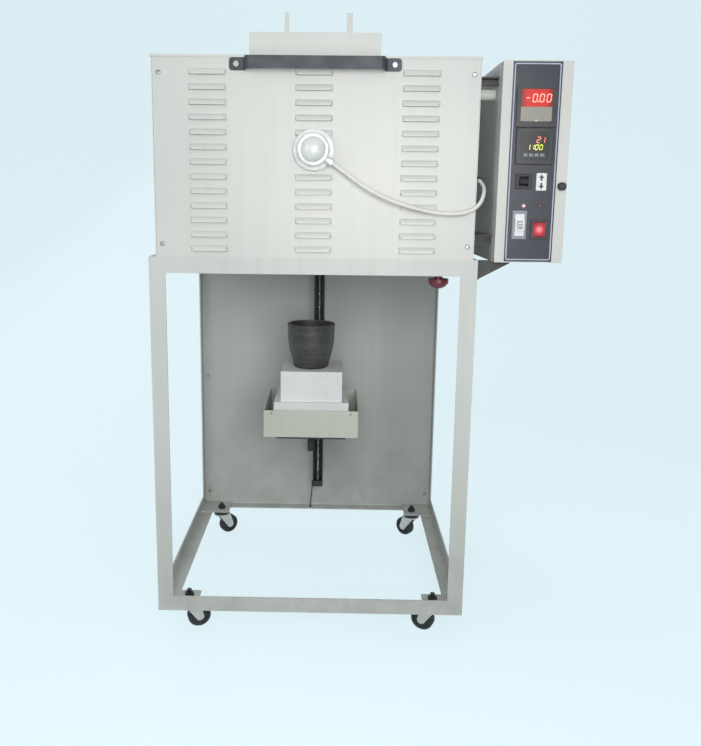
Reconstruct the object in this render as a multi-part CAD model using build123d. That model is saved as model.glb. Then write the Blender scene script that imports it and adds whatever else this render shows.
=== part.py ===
from build123d import *
import os
from math import cos, pi, radians, sin, tan

# Bottom loading furnace: a louvred furnace body on an angle-iron stand. The hearth is lifted from below
# on a screw column, and a control box hangs on stand-off bars at the right.
# Working frame, in millimetres: X = 0 on the stand's centre line, Y = 0 on the stand's front face,
# Z = 0 under the bottom rails, +Y to the rear. to_part_frame() moves everything at the end.

# Stand
stand_width = 640
stand_depth = 615
stand_height = 745
angle_leg = 32
angle_wall = 3
root_radius = 3
plate_size = 78
plate_thickness = 4

# Castors
castor_height = 65
castor_wheel_diameter = 50
castor_wheel_width = 19
castor_trail = 20
tread_round = 3
tread_depth = 6
recess_step = 1
wheel_recess = 3
castor_inset_x = 56
castor_inset_y = 54
castor_turns = {"fl": 20, "fr": 155, "rl": 35, "rr": 140}
stem_radius = 5
stem_top = 15
nut_flats = 17
nut_height = 8
cup_radius = 21
cup_height = 7
king_pin_radius = 4.2
fork_plate = 3
fork_cheek = 2.5
axle_radius = 3
axle_end = 1
wheel_side_gap = 1
running_gap = 0.3

# Furnace body casing
body_inset = 12
body_depth = 611
body_height = 375
body_shift = 3
sheet = 1.5
casing_flange = 18
casing_gap = 0.5
top_lip = 4.5
deck_thickness = 3
panel_screw_radius = 4.5
panel_screw_head = 2.5
panel_screw_inset_x = 13
panel_screw_low = 25
panel_screw_drop = 32
panel_screw_edge = 40
rear_screw_rows = 3

# Louvres of the front panel
louvre_pitch = 27.3
louvre_first = 12
louvre_top_margin = 20
louvre_width = 70
louvre_spacing = 200.5
louvre_height = 11
louvre_rise = 6
louvre_wall = 1.2
louvre_end_radius = 5.5

# Strap handle on the front
handle_length = 321
handle_grip = 250
handle_height = 23
handle_reach = 30
handle_strap = 3
handle_tab = 30
handle_drop = 28
handle_centre = 2
handle_screw_spacing = 295
handle_screw_radius = 6
handle_bend = 5

# Chamber and insulation, round the chamber's own axis
chamber_x = -6
chamber_y = 286
chamber_width = 200
chamber_height = 170
mouth_width = 148
wall_board = 105
floor_board = 66
roof_board = 90
element_offset = 82
element_radius = 3
element_span = 50
element_pair_gap = 40
element_floor_gap = 20
terminal_radius = 6
terminal_dip = 10
terminal_top = 150
terminal_gap = 0.8
clamp_block = 22
clamp_margin = 14
strap_thickness = 5
slot_width = 30
slot_margin = 15

# Box over the element terminals, with its lugs
cover_centre = -1.5
cover_width = 262
cover_front = 110
cover_depth = 350
cover_height = 61
lug_spacing = 133
lug_setback = 18
lug_height = 41
lug_face = 9
lug_side = 20
lug_sheet = 2.5
lug_hole_radius = 4

# Thermocouple and its cable
probe_x = 0
probe_height = 204
probe_neck_radius = 20
probe_neck = 7.5
probe_flange_radius = 38
probe_flange = 3.5
probe_head_radius = 31
probe_head_depth = 16.5
probe_cap_radius = 23
probe_cap_side = 8
probe_cap_dome = 12
probe_shoulder = 1.5
probe_chamfer = 3
sheath_radius = 6
sheath_tip = 215
gland_angle = -35
gland_reach = 12
gland_sink = 2
gland_shank = 5.5
cable_first_run = 24
cable_last_run = 16
gland_flats = 13
cable_radius = 3.75
cable_run = ((0.141, -24, 139), (0.305, -27, 116), (0.4924, -25, 100), (0.6798, -20, 89),
             (0.8477, -17, 87), (0.957, -13, 93), (1.0312, -4, 107), (1.0644, 11, 127))
boot_flange_radius = 9
boot_flange = 2
boot_radius = 5.5
boot_bend = 9
boot_turn = 60
boot_lean = 41
boot_y = 40.5
boot_height = 155

# Lift column, screw and motor
column_x = 3
column_front = 535
column_width = 27
column_depth = 30
column_wall = 2.5
column_bottom = 84
column_flange = 60
column_flange_thickness = 5
stay_width = 24
stay_thickness = 3
stay_heights = (130, 620)
screw_radius = 6
bearing_height = 16
bearing_floor = 4
bearing_flange_radius = 22
coupling_height = 30
motor_base = 80
motor_feet = 12
motor_foot_radius = 6
motor_foot_inset = 8
gearbox_height = 62
gearbox_corner = 6
motor_radius = 31
motor_length = 108
motor_round = 5
lift_travel = 341

# Hearth on its carriage
hearth_x = -7
tray_front = 196
tray_width = 215
tray_depth = 226
tray_height = 62
tray_top = 387
tray_sheet = 1.5
tray_corner = 2
tray_screw_radius = 3
tray_screw_inset = 18
tray_screw_drop = 7
slab_width = 170
slab_depth = 165
slab_front = 207
slab_top = 403
slab_edge = 1
plug_width = 140
plug_height = 70
plug_front = 216
centre_brick = 70
brick_edge = 0.8
crucible_shift = -3
crucible_y = 276
crucible_height = 103
crucible_rim_radius = 55
crucible_foot_radius = 41
crucible_wall = 8
crucible_corner = 9
crucible_band = 8
crucible_belly = 0.97
crucible_belly_height = 0.62
crucible_foot_slope = (0.25, 1)
crucible_rim_slope = (0.05, 1)
rim_step = 1
rim_round = 2
bracket_width = 157
bracket_plate = 5
bracket_back_width = 64
bracket_back = 6
carriage_bottom = 240
carriage_top = 360
carriage_depth = 30
carriage_clear = 2
carriage_gap = 0.5
cheek_thickness = 6
cheek_reach = 23
gusset_inset = 12
gusset_start = 330

# Lower limit switch and earth lead at the column
switch_width = 15
switch_depth = 20
switch_bottom = 183
switch_height = 30
switch_corner = 1.5
lever_width = 4
lever_depth = 6
lever_inset = 2
earth_radius = 1.5
earth_lug = 7
earth_tag = 3
earth_foot_tag = 2
earth_foot = (6, 42)
earth_run = ((0, 0, 0), (1, 3, 25), (3, 14, 48), (5, 30, 66))

# Control box and its door
box_standoff = 26.5
box_width = 128.5
box_drop = 2
box_height = 368
box_back = 240
door_front = -22
door_back = 3
door_gap = 1.4
hinge_inset = 5
hinge_pin_radius = 2.5
hinge_ear = 3
bar_height = 15
bar_depth = 18
bar_wall = 3
bar_front = 14
bar_rear = 196
bar_low = 42
bar_high = 336
conduit_radius = 10
conduit_wall = 2
conduit_y = 52
conduit_height = 315
gusset_drop = 36
gusset_reach = 62
gusset_sheet = 3

# Control panel: fascia and instruments, heights from the box's underside, X from the fascia's centre
fascia_offset = 63
fascia_width = 90
fascia_margin = 2
fascia_thickness = 0.8
meter_size = 72
meter_height = 286
meter_bezel = 6
meter_corner = 2
meter_border = 4
meter_border_low = 3
meter_recess = 2
meter_body = 62
meter_depth = 45
controller_width = 68
controller_height = 66
controller_middle = 215.5
controller_bezel = 5
controller_bevel = 1.2
controller_border = 4
controller_recess = 1.5
controller_body = 58
lift_switch_offset = -16
lift_switch_middle = 151.5
lift_switch_width = 30
lift_switch_height = 27
lift_switch_depth = 26
lift_switch_wall = 3
lift_switch_rise = 4
switch_bevel = 1
paddle_width = 16
paddle_height = 15
paddle_reach = 9
paddle_pivot = 1.5
paddle_pivot_depth = 1
paddle_well = 9
paddle_margin = 2
paddle_nose = 4
paddle_lip = 2
paddle_step = 3
paddle_heel = 4
lamp_offsets = (-13.5, 18)
lamp_middle = 106.5
lamp_radius = 5
lamp_rim = 2
lamp_lens_radius = 3.8
lamp_lens_rise = 4.5
lamp_lens_round = 1.8
lamp_tail_radius = 4
lamp_tail = 14
breaker_offset = -19.5
breaker_middle = 71
breaker_width = 18
breaker_height = 41
breaker_frame_width = 27.5
breaker_frame_height = 54
breaker_depth = 50
breaker_frame_rise = 3
breaker_face = 2
breaker_nose = 8
breaker_nose_share = 0.5
breaker_well = 4
toggle_width = 9
toggle_height = 11
toggle_tilt = 20
toggle_reach = 11
toggle_thickness = 4
toggle_hub = 4.5
toggle_edge = 0.8
toggle_gap = 0.5
toggle_sweep = 1.5
rocker_offset = 18
rocker_middle = 63
rocker_frame_width = 32
rocker_frame_height = 38
rocker_rim = 3.5
rocker_depth = 22
rocker_rise = 3
rocker_corner = 1.5
rocker_bevel = 0.8
rocker_wall = 1
rocker_well = 10
rocker_high = 6
rocker_middle_rise = 3.4
rocker_low = 1.5
rocker_heel = 6
rocker_pivot = 1.5
rocker_pivot_depth = 1
knob_offset = 55
knob_middle = 143
knob_radius = 7.5
knob_length = 14
knob_neck = 2
knob_round = 3
knob_shaft = 10
cam_width = 8
cam_depth = 6
cam_thickness = 3
cam_reach = 14
cam_tail = 4

# Emergency stop under the deck, gland and gear inside the control box
stop_inset = 68
stop_y = 57
stop_radius = 20
stop_base_width = 42
stop_base_height = 32
stop_base_corner = 4
stop_collar = 3
stop_collar_radius = 15
stop_well = 20
stop_drop = 62
stop_cap_height = 20
stop_cap_side = 8
stop_stem_radius = 8
stop_stem = 12
main_gland_offset = 63.5
main_gland_middle = 57
main_gland_bore = 6
main_gland_radius = 12
main_gland_length = 24
main_gland_shank = 9
main_gland_inside = 8
main_gland_nut = 7
main_gland_lock = 6
main_gland_round = 4
gear_gap = 6
gear_middle = 155.5
sink_height = 150
sink_base = 6
fin_reach = 34
fin_thickness = 2
fin_count = 8
relay_width = 48
relay_depth = 28
relay_low = 40
relay_height = 60
strip_inset = 8
strip_depth = 26
strip_low = 60
strip_height = 30
strip_ways = 8
way_inset = 10
way_wall = 1.5
way_depth = 8
way_margin = 4

# Sizes worked out from those above
half_width = stand_width / 2
body_width = stand_width - 2 * body_inset
body_left = body_shift - body_width / 2
body_right = body_shift + body_width / 2
body_base = stand_height
body_top = body_base + body_height
panel_top = body_top - sheet
louvre_room = body_height - louvre_first - louvre_height - louvre_top_margin
louvre_rows = int(louvre_room / louvre_pitch) + 1
handle_bottom = body_top - handle_drop
probe_z = body_base + probe_height
boot_z = body_base + boot_height
chamber_floor = body_base + deck_thickness + floor_board
chamber_roof = chamber_floor + chamber_height
board_half = chamber_width / 2 + wall_board
column_left = column_x - column_width / 2
column_back = column_front + column_depth
column_top = body_base
screw_y = column_front + column_depth / 2
box_left = half_width + box_standoff
box_right = box_left + box_width
box_bottom = body_base - box_drop
box_top = box_bottom + box_height
conduit_z = box_bottom + conduit_height
fascia_centre = box_left + fascia_offset
meter_z = box_bottom + meter_height
controller_z = box_bottom + controller_middle
lift_switch_x = fascia_centre + lift_switch_offset
lift_switch_z = box_bottom + lift_switch_middle
lamp_x = [fascia_centre + offset for offset in lamp_offsets]
lamp_z = box_bottom + lamp_middle
breaker_x = fascia_centre + breaker_offset
breaker_z = box_bottom + breaker_middle
rocker_x = fascia_centre + rocker_offset
rocker_z = box_bottom + rocker_middle
knob_x = fascia_centre + knob_offset
knob_z = box_bottom + knob_middle
main_gland_x = box_left + main_gland_offset
main_gland_z = box_bottom + main_gland_middle
stop_x = half_width - stop_inset
stop_cap_bottom = body_base - stop_drop
slab_bottom = tray_top - tray_height + tray_sheet
plug_bottom = slab_top
plug_top = plug_bottom + plug_height
floor_level = -castor_height
head_front = -(probe_neck + probe_flange + probe_head_depth + probe_cap_side + probe_cap_dome)
middle_x = (box_right - half_width) / 2
middle_y = (stand_depth + head_front) / 2
BOTTOM = (Align.CENTER, Align.CENTER, Align.MIN)


def block(x0, x1, y0, y1, z0, z1):
    """Box between two corners."""
    return Pos((x0 + x1) / 2, (y0 + y1) / 2, (z0 + z1) / 2) * Box(x1 - x0, y1 - y0, z1 - z0)


def rod(radius, start, end):
    """Cylinder between two points."""
    path = Vector(*end) - Vector(*start)
    return Plane(origin=start, z_dir=path) * Cylinder(radius, path.length, align=BOTTOM)


def hexagon(flats, start, end):
    """Hexagonal bar between two points, by its width across flats."""
    path = Vector(*end) - Vector(*start)
    outline = RegularPolygon(flats / 2, 6, major_radius=False)
    return extrude(Plane(origin=start, z_dir=path) * outline, path.length)


def domed(radius, side, dome):
    """Disc along +Z from the origin, with a straight side and a spherical dome above it."""
    sphere = (radius**2 + dome**2) / (2 * dome)
    height = side + dome
    return Cylinder(radius, height, align=BOTTOM) & Pos(0, 0, height - sphere) * Sphere(sphere)


def pan_screw(point, direction, radius, head, grip=sheet):
    """Pan-head screw with a cross recess, its head on a face at the point and its shank behind it."""
    dome = Cylinder(radius, head, align=BOTTOM)
    dome = fillet(dome.edges().sort_by(Axis.Z)[-1], head * 0.8)
    recess = Pos(0, 0, head) * (Box(radius, radius / 4, head) + Box(radius / 4, radius, head))
    shank = Cylinder(radius / 2, grip, align=(Align.CENTER, Align.CENTER, Align.MAX))
    return Plane(origin=point, z_dir=direction) * (dome - recess + shank)


def write(shape, name):
    """Moves a sub-part to the part's frame and writes it."""
    solids = shape if isinstance(shape, list) else [shape]
    offset = Pos(-middle_x, -middle_y, castor_height)
    bodies = [solid for part in solids for solid in (offset * part).solids()]
    whole = bodies[0] if len(bodies) == 1 else Compound(children=bodies)
    export_step(whole, f"parts/{name}.step")


def angle_bar(length):
    """Equal angle along +Z, its corner at the origin and its legs along +X and +Y."""
    outline = Polyline(
        (0, 0), (angle_leg, 0), (angle_leg, angle_wall), (angle_wall, angle_wall), (angle_wall, angle_leg),
        (0, angle_leg), close=True)
    face = make_face(outline)
    root = face.vertices().sort_by_distance((angle_wall, angle_wall))[0]
    return extrude(fillet(root, root_radius), length)


def stand_corners():
    """Outer corners of the stand, anticlockwise from the front left, with the turn of each."""
    return ((-half_width, 0, 0), (half_width, 0, 90), (half_width, stand_depth, 180),
            (-half_width, stand_depth, 270))


def stand_frame():
    """Legs, bottom and top rails of angle iron, and the plates that hold the castors."""
    pieces = []
    for x, y, turn in stand_corners():
        place = Pos(x, y, 0) * Rot(0, 0, turn)
        pieces.append(place * angle_bar(stand_height))
        side = stand_width if turn % 180 == 0 else stand_depth
        length = side - 2 * angle_leg
        low = Plane(origin=(angle_leg, 0, 0), x_dir=(0, 1, 0), z_dir=(1, 0, 0))
        high = Plane(origin=(angle_leg, 0, stand_height), x_dir=(0, 0, -1), z_dir=(1, 0, 0))
        pieces.append(place * (low * angle_bar(length)))
        pieces.append(place * (high * angle_bar(length)))
        plate = block(angle_wall, plate_size, angle_wall, plate_size, angle_wall,
                      angle_wall + plate_thickness)
        stud = rod(stem_radius, (*castor_local(turn), 0), (*castor_local(turn), stand_height))
        pieces.append(place * (plate - stud))
    return pieces


def castor_local(turn):
    """Castor stud from its corner, in that corner's turned axes."""
    if turn % 180 == 0:
        return castor_inset_x, castor_inset_y
    return castor_inset_y, castor_inset_x


def castor_places():
    """Stud of each castor and the turn of its fork."""
    x = half_width - castor_inset_x
    rear = stand_depth - castor_inset_y
    spots = {"fl": (-x, castor_inset_y), "fr": (x, castor_inset_y), "rl": (-x, rear), "rr": (x, rear)}
    return {name: (*spot, castor_turns[name]) for name, spot in spots.items()}


def castor_stem(x, y):
    """Threaded stem with its bearing cup below the corner plate, and the nut above the plate."""
    seat = angle_wall + plate_thickness
    stem = rod(stem_radius, (x, y, 0), (x, y, seat + stem_top))
    stem += hexagon(nut_flats, (x, y, 0), (x, y, angle_wall))
    stem += rod(cup_radius, (x, y, -cup_height), (x, y, 0))
    stem -= rod(king_pin_radius + running_gap, (x, y, -cup_height), (x, y, -running_gap))
    nut = hexagon(nut_flats, (x, y, seat), (x, y, seat + nut_height))
    return [stem, nut - rod(stem_radius, (x, y, seat), (x, y, seat + nut_height))]


def castor_fork():
    """Fork with its king pin on the Z axis and the wheel trailing along +X, and the axle."""
    top = -cup_height - running_gap
    under = top - fork_plate
    axle_z = floor_level + castor_wheel_diameter / 2
    inner = castor_wheel_width / 2 + wheel_side_gap
    outer = inner + fork_cheek
    eye = 3 * axle_radius
    crown = rod(cup_radius, (0, 0, under), (0, 0, top))
    crown += block(0, castor_trail, -outer, outer, under, top)
    crown += rod(king_pin_radius, (0, 0, under), (0, 0, -2 * running_gap))
    tangent = Line((-outer, under), (castor_trail, under))
    ring = Pos(castor_trail, axle_z) * CenterArc((0, 0), eye, 0, 360)
    cheek = extrude(Plane.XZ * make_hull([tangent.edge(), ring.edge()]), fork_cheek)
    fork = crown + Pos(0, -inner, 0) * cheek + Pos(0, outer, 0) * cheek
    end = outer + axle_end
    pin = rod(axle_radius, (castor_trail, -end, axle_z), (castor_trail, end, axle_z))
    return [fork - pin, pin]


def castor_wheel():
    """Wheel with a rounded tread, recessed sides and a raised hub, on an axle along Y."""
    radius = castor_wheel_diameter / 2
    half = castor_wheel_width / 2
    hub = 3 * axle_radius
    bore = axle_radius + running_gap
    recess = wheel_recess
    tread = radius - tread_depth
    face = radius - tread_round
    turned = half - tread_round
    outline = Polyline(
        (bore, -half), (hub, -half), (hub, recess - half), (tread - recess_step, recess - half),
        (tread, -half), (face, -half), (radius, -turned), (radius, turned), (face, half), (tread, half),
        (tread - recess_step, half - recess), (hub, half - recess), (hub, half), (bore, half), close=True)
    wheel = revolve(Plane.XY * make_face(outline), Axis.Y)
    return Pos(castor_trail, 0, floor_level + radius) * wheel


def louvre():
    """One formed louvre: the hood in front of Y = 0 with its mouth at Z = 0, and the opening behind it."""
    half = louvre_width / 2
    centre = (louvre_height**2 - louvre_rise**2) / (2 * louvre_rise)
    radius = centre + louvre_rise

    def hood(shrink):
        arch = rod(radius - shrink, (-half, centre, 0), (half, centre, 0))
        front = shrink - louvre_rise
        corner = louvre_end_radius - shrink
        low = Polyline((shrink - half, 0), (shrink - half, front), (half - shrink, front),
                       (half - shrink, 0), close=True)
        plan = make_face(low)
        plan = fillet(plan.vertices().filter_by(lambda v: v.Y < front / 2), corner)
        return arch & extrude(plan, louvre_height)

    mouth = (radius - louvre_wall)**2 - centre**2
    shell = hood(0) - hood(louvre_wall)
    cut = block(louvre_wall - half, half - louvre_wall, 0, sheet, 0, mouth**0.5)
    return shell, cut


def front_panel():
    """Front sheet with three columns of louvres, plain behind the thermocouple's head."""
    left = body_left + sheet + casing_gap
    right = body_right - sheet - casing_gap
    panel = block(left, right, 0, sheet, body_base, panel_top - casing_gap)
    hood, cut = louvre()
    heights = [body_base + louvre_first + row * louvre_pitch for row in range(louvre_rows)]
    beside = [z for z in heights if abs(z + louvre_height / 2 - probe_z) > probe_neck_radius + louvre_height]
    places = [Pos(0, 0, z) for z in beside]
    places += [Pos(side * louvre_spacing, 0, z) for side in (-1, 1) for z in heights]
    panel = panel - [place * cut for place in places] + [place * hood for place in places]
    panel -= rod(sheath_radius + 2, (probe_x, 0, probe_z), (probe_x, sheet, probe_z))
    holes = [rod(radius / 2, (x, 0, z), (x, sheet, z)) for x, z, radius in front_screws()]
    return panel - holes


def front_screws():
    """Centres and head radii of the panel's and the handle's screws."""
    left = body_left + panel_screw_inset_x
    right = body_right - panel_screw_inset_x
    low = body_base + panel_screw_low
    high = body_top - panel_screw_drop
    spots = [(x, z, panel_screw_radius) for x in (left, right) for z in (low, high)]
    z = handle_bottom + handle_height / 2
    for side in (-1, 1):
        spots.append((handle_centre + side * handle_screw_spacing / 2, z, handle_screw_radius))
    return spots


def side_panels():
    """Left and right sheets, folded inwards behind the front and rear sheets."""
    panels = []
    for side, x in ((1, body_left), (-1, body_right)):
        walls = [(0, sheet, 0, body_depth)]
        walls += [(0, casing_flange, sheet, 2 * sheet)]
        walls += [(0, casing_flange, body_depth - 2 * sheet, body_depth - sheet)]
        shape = Part()
        for x0, x1, y0, y1 in walls:
            a, b = sorted((x + side * x0, x + side * x1))
            shape += block(a, b, y0, y1, body_base, panel_top)
        panels.append(shape)
    hole = rod(boot_radius, (body_right - sheet, boot_y, boot_z), (body_right, boot_y, boot_z))
    conduit = rod(conduit_radius, (body_right - 2 * sheet, conduit_y, conduit_z),
                  (body_right + sheet, conduit_y, conduit_z))
    panels[1] = panels[1] - hole - conduit
    return panels


def back_panels():
    """Rear sheet of the furnace body, and the sheet that closes the rear of the stand."""
    left = body_left + sheet + casing_gap
    right = body_right - sheet - casing_gap
    upper = block(left, right, body_depth - sheet, body_depth, body_base, panel_top)
    inside = half_width - angle_wall - root_radius - casing_gap
    face = stand_depth - angle_wall
    low = angle_wall + plate_thickness + casing_gap
    high = stand_height - angle_wall - root_radius - casing_gap
    lower = block(-inside, inside, face - sheet, face, low, high)
    for x, z in rear_screws(body_left + panel_screw_inset_x, body_right - panel_screw_inset_x,
                            body_base, body_height):
        upper -= rod(panel_screw_radius / 2, (x, body_depth - sheet, z), (x, body_depth, z))
    for x, z in rear_screws(-half_width + angle_leg / 2, half_width - angle_leg / 2, 0, stand_height):
        lower -= rod(panel_screw_radius / 2, (x, face - sheet, z), (x, face, z))
    return [upper, lower]


def rear_screws(left, right, base, height):
    """Centres of the screws down both edges of a rear sheet."""
    low = base + panel_screw_edge
    step = (height - 2 * panel_screw_edge) / (rear_screw_rows - 1)
    return [(x, low + row * step) for x in (left, right) for row in range(rear_screw_rows)]


def top_panel():
    """Top sheet folded down over the four sides, with slots for the element terminals."""
    outer = block(body_left - sheet, body_right + sheet, -sheet, body_depth + sheet,
                  body_top - top_lip, body_top)
    inner = block(body_left, body_right, 0, body_depth, body_top - top_lip, body_top - sheet)
    panel = outer - inner
    for side in (-1, 1):
        x = chamber_x + side * element_offset
        reach = element_pair_gap / 2 + element_span + slot_margin
        panel -= block(x - slot_width / 2, x + slot_width / 2, chamber_y - reach, chamber_y + reach,
                       body_top - sheet, body_top)
    return panel


def deck_plate():
    """Plate that carries the body and its insulation, with the mouth for the hearth's plug."""
    plate = block(body_left + sheet, body_right - sheet, 2 * sheet, body_depth - 2 * sheet,
                  body_base, body_base + deck_thickness)
    half = mouth_width / 2
    plate -= block(chamber_x - half, chamber_x + half, chamber_y - half, chamber_y + half,
                   body_base, body_base + deck_thickness)
    return plate - rod(bearing_flange_radius / 2, (column_x, screw_y, body_base),
                       (column_x, screw_y, body_base + deck_thickness))


def insulation():
    """Fibre boards round the chamber: floor with the mouth, four walls and the roof."""
    x, y = chamber_x, chamber_y
    half = chamber_width / 2
    mouth = mouth_width / 2
    low = body_base + deck_thickness
    floor = block(x - board_half, x + board_half, y - board_half, y + board_half, low, chamber_floor)
    floor -= block(x - mouth, x + mouth, y - mouth, y + mouth, low, chamber_floor)
    front = block(x - board_half, x + board_half, y - board_half, y - half, chamber_floor, chamber_roof)
    front -= rod(sheath_radius + running_gap, (probe_x, y - board_half, probe_z), (probe_x, y - half, probe_z))
    back = block(x - board_half, x + board_half, y + half, y + board_half, chamber_floor, chamber_roof)
    left = block(x - board_half, x - half, y - half, y + half, chamber_floor, chamber_roof)
    right = block(x + half, x + board_half, y - half, y + half, chamber_floor, chamber_roof)
    roof = block(x - board_half, x + board_half, y - board_half, y + board_half, chamber_roof,
                 chamber_roof + roof_board)
    holes = [rod(terminal_radius + terminal_gap, (ex, ey, chamber_roof), (ex, ey, chamber_roof + roof_board))
             for ex, ey in terminal_places()]
    return [floor, front, back, left, right, roof - holes]


def terminal_places():
    """Centres of the eight element terminals, as two rows of four."""
    near = element_pair_gap / 2
    spots = (-near - element_span, -near, near, near + element_span)
    return [(chamber_x + side * element_offset, chamber_y + spot) for side in (-1, 1) for spot in spots]


def inner_casing():
    """Sheet ring round the insulation, with a hole for the thermocouple sheath."""
    x, y = chamber_x, chamber_y
    outer = board_half + sheet
    low = body_base + deck_thickness
    high = chamber_roof + roof_board
    ring = block(x - outer, x + outer, y - outer, y + outer, low, high)
    ring -= block(x - board_half, x + board_half, y - board_half, y + board_half, low, high)
    return ring - rod(sheath_radius + running_gap, (probe_x, y - outer, probe_z),
                      (probe_x, y - board_half, probe_z))


def heating_elements():
    """Four U-shaped elements with thick cold ends, two at each side of the chamber."""
    elements = []
    spots = terminal_places()
    low = chamber_floor + element_floor_gap
    high = chamber_roof - terminal_dip
    bend = element_span / 2 - casing_gap
    for (x, front), (_, rear) in zip(spots[0::2], spots[1::2]):
        path = FilletPolyline((x, front, high), (x, front, low), (x, rear, low), (x, rear, high),
                              radius=bend)
        element = sweep(Plane(origin=path @ 0, z_dir=path % 0) * Circle(element_radius), path)
        for y in (front, rear):
            element += rod(terminal_radius, (x, y, high), (x, y, chamber_roof + terminal_top))
        elements.append(element)
    return elements


def element_clamps():
    """Clamp blocks that hold each element on the roof board, and the straps across neighbouring elements."""
    pieces = []
    spots = terminal_places()
    seat = chamber_roof + roof_board
    top = chamber_roof + terminal_top
    for (x, front), (_, rear) in zip(spots[0::2], spots[1::2]):
        grips = [rod(terminal_radius, (x, y, seat), (x, y, seat + clamp_block)) for y in (front, rear)]
        pieces.append(block(x - clamp_margin, x + clamp_margin, front - clamp_margin, rear + clamp_margin,
                            seat, seat + clamp_block) - grips)
    for side in (0, 4):
        x, front = spots[side + 1]
        rear = spots[side + 2][1]
        grips = [rod(terminal_radius, (x, y, seat), (x, y, top)) for y in (front, rear)]
        pieces.append(block(x - clamp_margin, x + clamp_margin, front - clamp_margin, rear + clamp_margin,
                            top - 2 * strap_thickness, top - strap_thickness) - grips)
    return pieces


def terminal_cover():
    """Open-bottomed sheet box over the element terminals."""
    x0 = cover_centre - cover_width / 2
    x1 = cover_centre + cover_width / 2
    y1 = cover_front + cover_depth
    box = block(x0, x1, cover_front, y1, body_top, body_top + cover_height)
    hollow = block(x0 + sheet, x1 - sheet, cover_front + sheet, y1 - sheet, body_top,
                   body_top + cover_height - sheet)
    return box - hollow


def cover_lugs():
    """Two upright angle lugs on the cover, each with a sloped side and a hole."""
    lugs = []
    base = body_top + cover_height
    y = cover_front + lug_setback
    for side in (-1, 1):
        x = body_shift + side * lug_spacing / 2
        outline = Polyline((y, base), (y + lug_side, base), (y + lug_side, base + lug_height / 2),
                           (y + lug_face, base + lug_height), (y, base + lug_height), close=True)
        web = extrude(Plane.YZ * make_face(outline), lug_sheet)
        web -= rod(lug_hole_radius, (0, y + lug_side / 2, base + lug_height / 2),
                   (lug_sheet, y + lug_side / 2, base + lug_height / 2))
        face = block(-side * lug_face if side > 0 else 0, 0 if side > 0 else lug_face, y, y + lug_sheet,
                     base, base + lug_height)
        foot = block(-lug_face, lug_face, y, y + lug_side, base, base + lug_sheet)
        lugs.append(Pos(x, 0, 0) * (web + face + foot))
    return lugs


def front_handle():
    """Strap handle: two tabs on the panel and a raised grip between them."""
    half = handle_length / 2
    grip = handle_grip / 2
    spine = [(-half, 0), (-half + handle_tab, 0), (-grip, handle_strap - handle_reach),
             (grip, handle_strap - handle_reach), (half - handle_tab, 0), (half, 0)]
    centre = FilletPolyline(*spine, radius=handle_bend)
    bar = make_brake_formed(handle_strap, handle_height, centre, side=Side.RIGHT)
    tabs = bar.edges().filter_by(Axis.Y).group_by(Axis.X)
    bar = fillet(tabs[0] + tabs[-1], handle_height / 4)
    z = handle_bottom
    bar = Pos(handle_centre, 0, z - bar.bounding_box().min.Z) * bar
    for side in (-1, 1):
        x = handle_centre + side * handle_screw_spacing / 2
        bar -= rod(handle_screw_radius / 2, (x, -handle_strap, z + handle_height / 2),
                   (x, 0, z + handle_height / 2))
    return bar


def body_screws():
    """Pan-head screws of the front panel, the handle and the two rear sheets."""
    screws = []
    for x, z, radius in front_screws():
        lift = handle_strap if radius == handle_screw_radius else 0
        screws.append(pan_screw((x, -lift, z), (0, -1, 0), radius, panel_screw_head, lift + sheet))
    for x, z in rear_screws(body_left + panel_screw_inset_x, body_right - panel_screw_inset_x,
                            body_base, body_height):
        screws.append(pan_screw((x, body_depth, z), (0, 1, 0), panel_screw_radius, panel_screw_head))
    face = stand_depth - angle_wall - sheet
    for x, z in rear_screws(-half_width + angle_leg / 2, half_width - angle_leg / 2, 0, stand_height):
        screws.append(pan_screw((x, face, z), (0, -1, 0), panel_screw_radius, panel_screw_head))
    return screws


def thermocouple():
    """Head with its neck and flange, the domed cap on it, the cable gland and the sheath."""
    flange_back = -probe_neck
    flange_front = flange_back - probe_flange
    front = flange_front - probe_head_depth
    outline = Polyline((sheath_radius, 0), (probe_neck_radius, 0), (probe_neck_radius, flange_back),
                       (probe_flange_radius, flange_back), (probe_flange_radius, flange_front),
                       (probe_head_radius, flange_front - probe_shoulder),
                       (probe_head_radius, front + probe_chamfer), (probe_head_radius - probe_chamfer, front),
                       (0, front), (0, flange_front),
                       (sheath_radius, flange_front), close=True)
    centre = Pos(probe_x, 0, probe_z)
    head = centre * revolve(make_face(outline), Axis.Y)
    cap = Plane(origin=(probe_x, front, probe_z), z_dir=(0, -1, 0)) * domed(
        probe_cap_radius, probe_cap_side, probe_cap_dome)
    y = flange_front - probe_head_depth / 2
    root = gland_point(probe_head_radius - gland_sink, y)
    end = gland_point(probe_head_radius + gland_reach, y)
    shank = rod(gland_shank, root, end)
    nut = hexagon(gland_flats, gland_point(probe_head_radius + gland_sink, y), end)
    head -= shank
    tip = (probe_x, sheath_tip, probe_z)
    sheath = rod(sheath_radius, (probe_x, flange_front, probe_z), tip)
    sheath = fillet(sheath.edges().sort_by(Axis.Y)[-1], sheath_radius * 0.8)
    return head, cap, shank + nut, sheath


def gland_point(reach, y):
    """Point on the thermocouple gland's axis, at a distance from the head's axis."""
    angle = radians(gland_angle)
    return probe_x + reach * cos(angle), y, probe_z + reach * sin(angle)


def cable_points():
    """Route of the thermocouple cable, from its gland round the body's front edge to the boot."""
    y = -(probe_neck + probe_flange + probe_head_depth / 2)
    start = gland_point(probe_head_radius + gland_reach, y)
    second = gland_point(probe_head_radius + gland_reach + cable_first_run, y)
    reach = body_right - second[0]
    run = [(second[0] + share * reach, depth, body_base + height) for share, depth, height in cable_run]
    return [start, second, *run, boot_point(cable_last_run), boot_point(0)]


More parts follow.
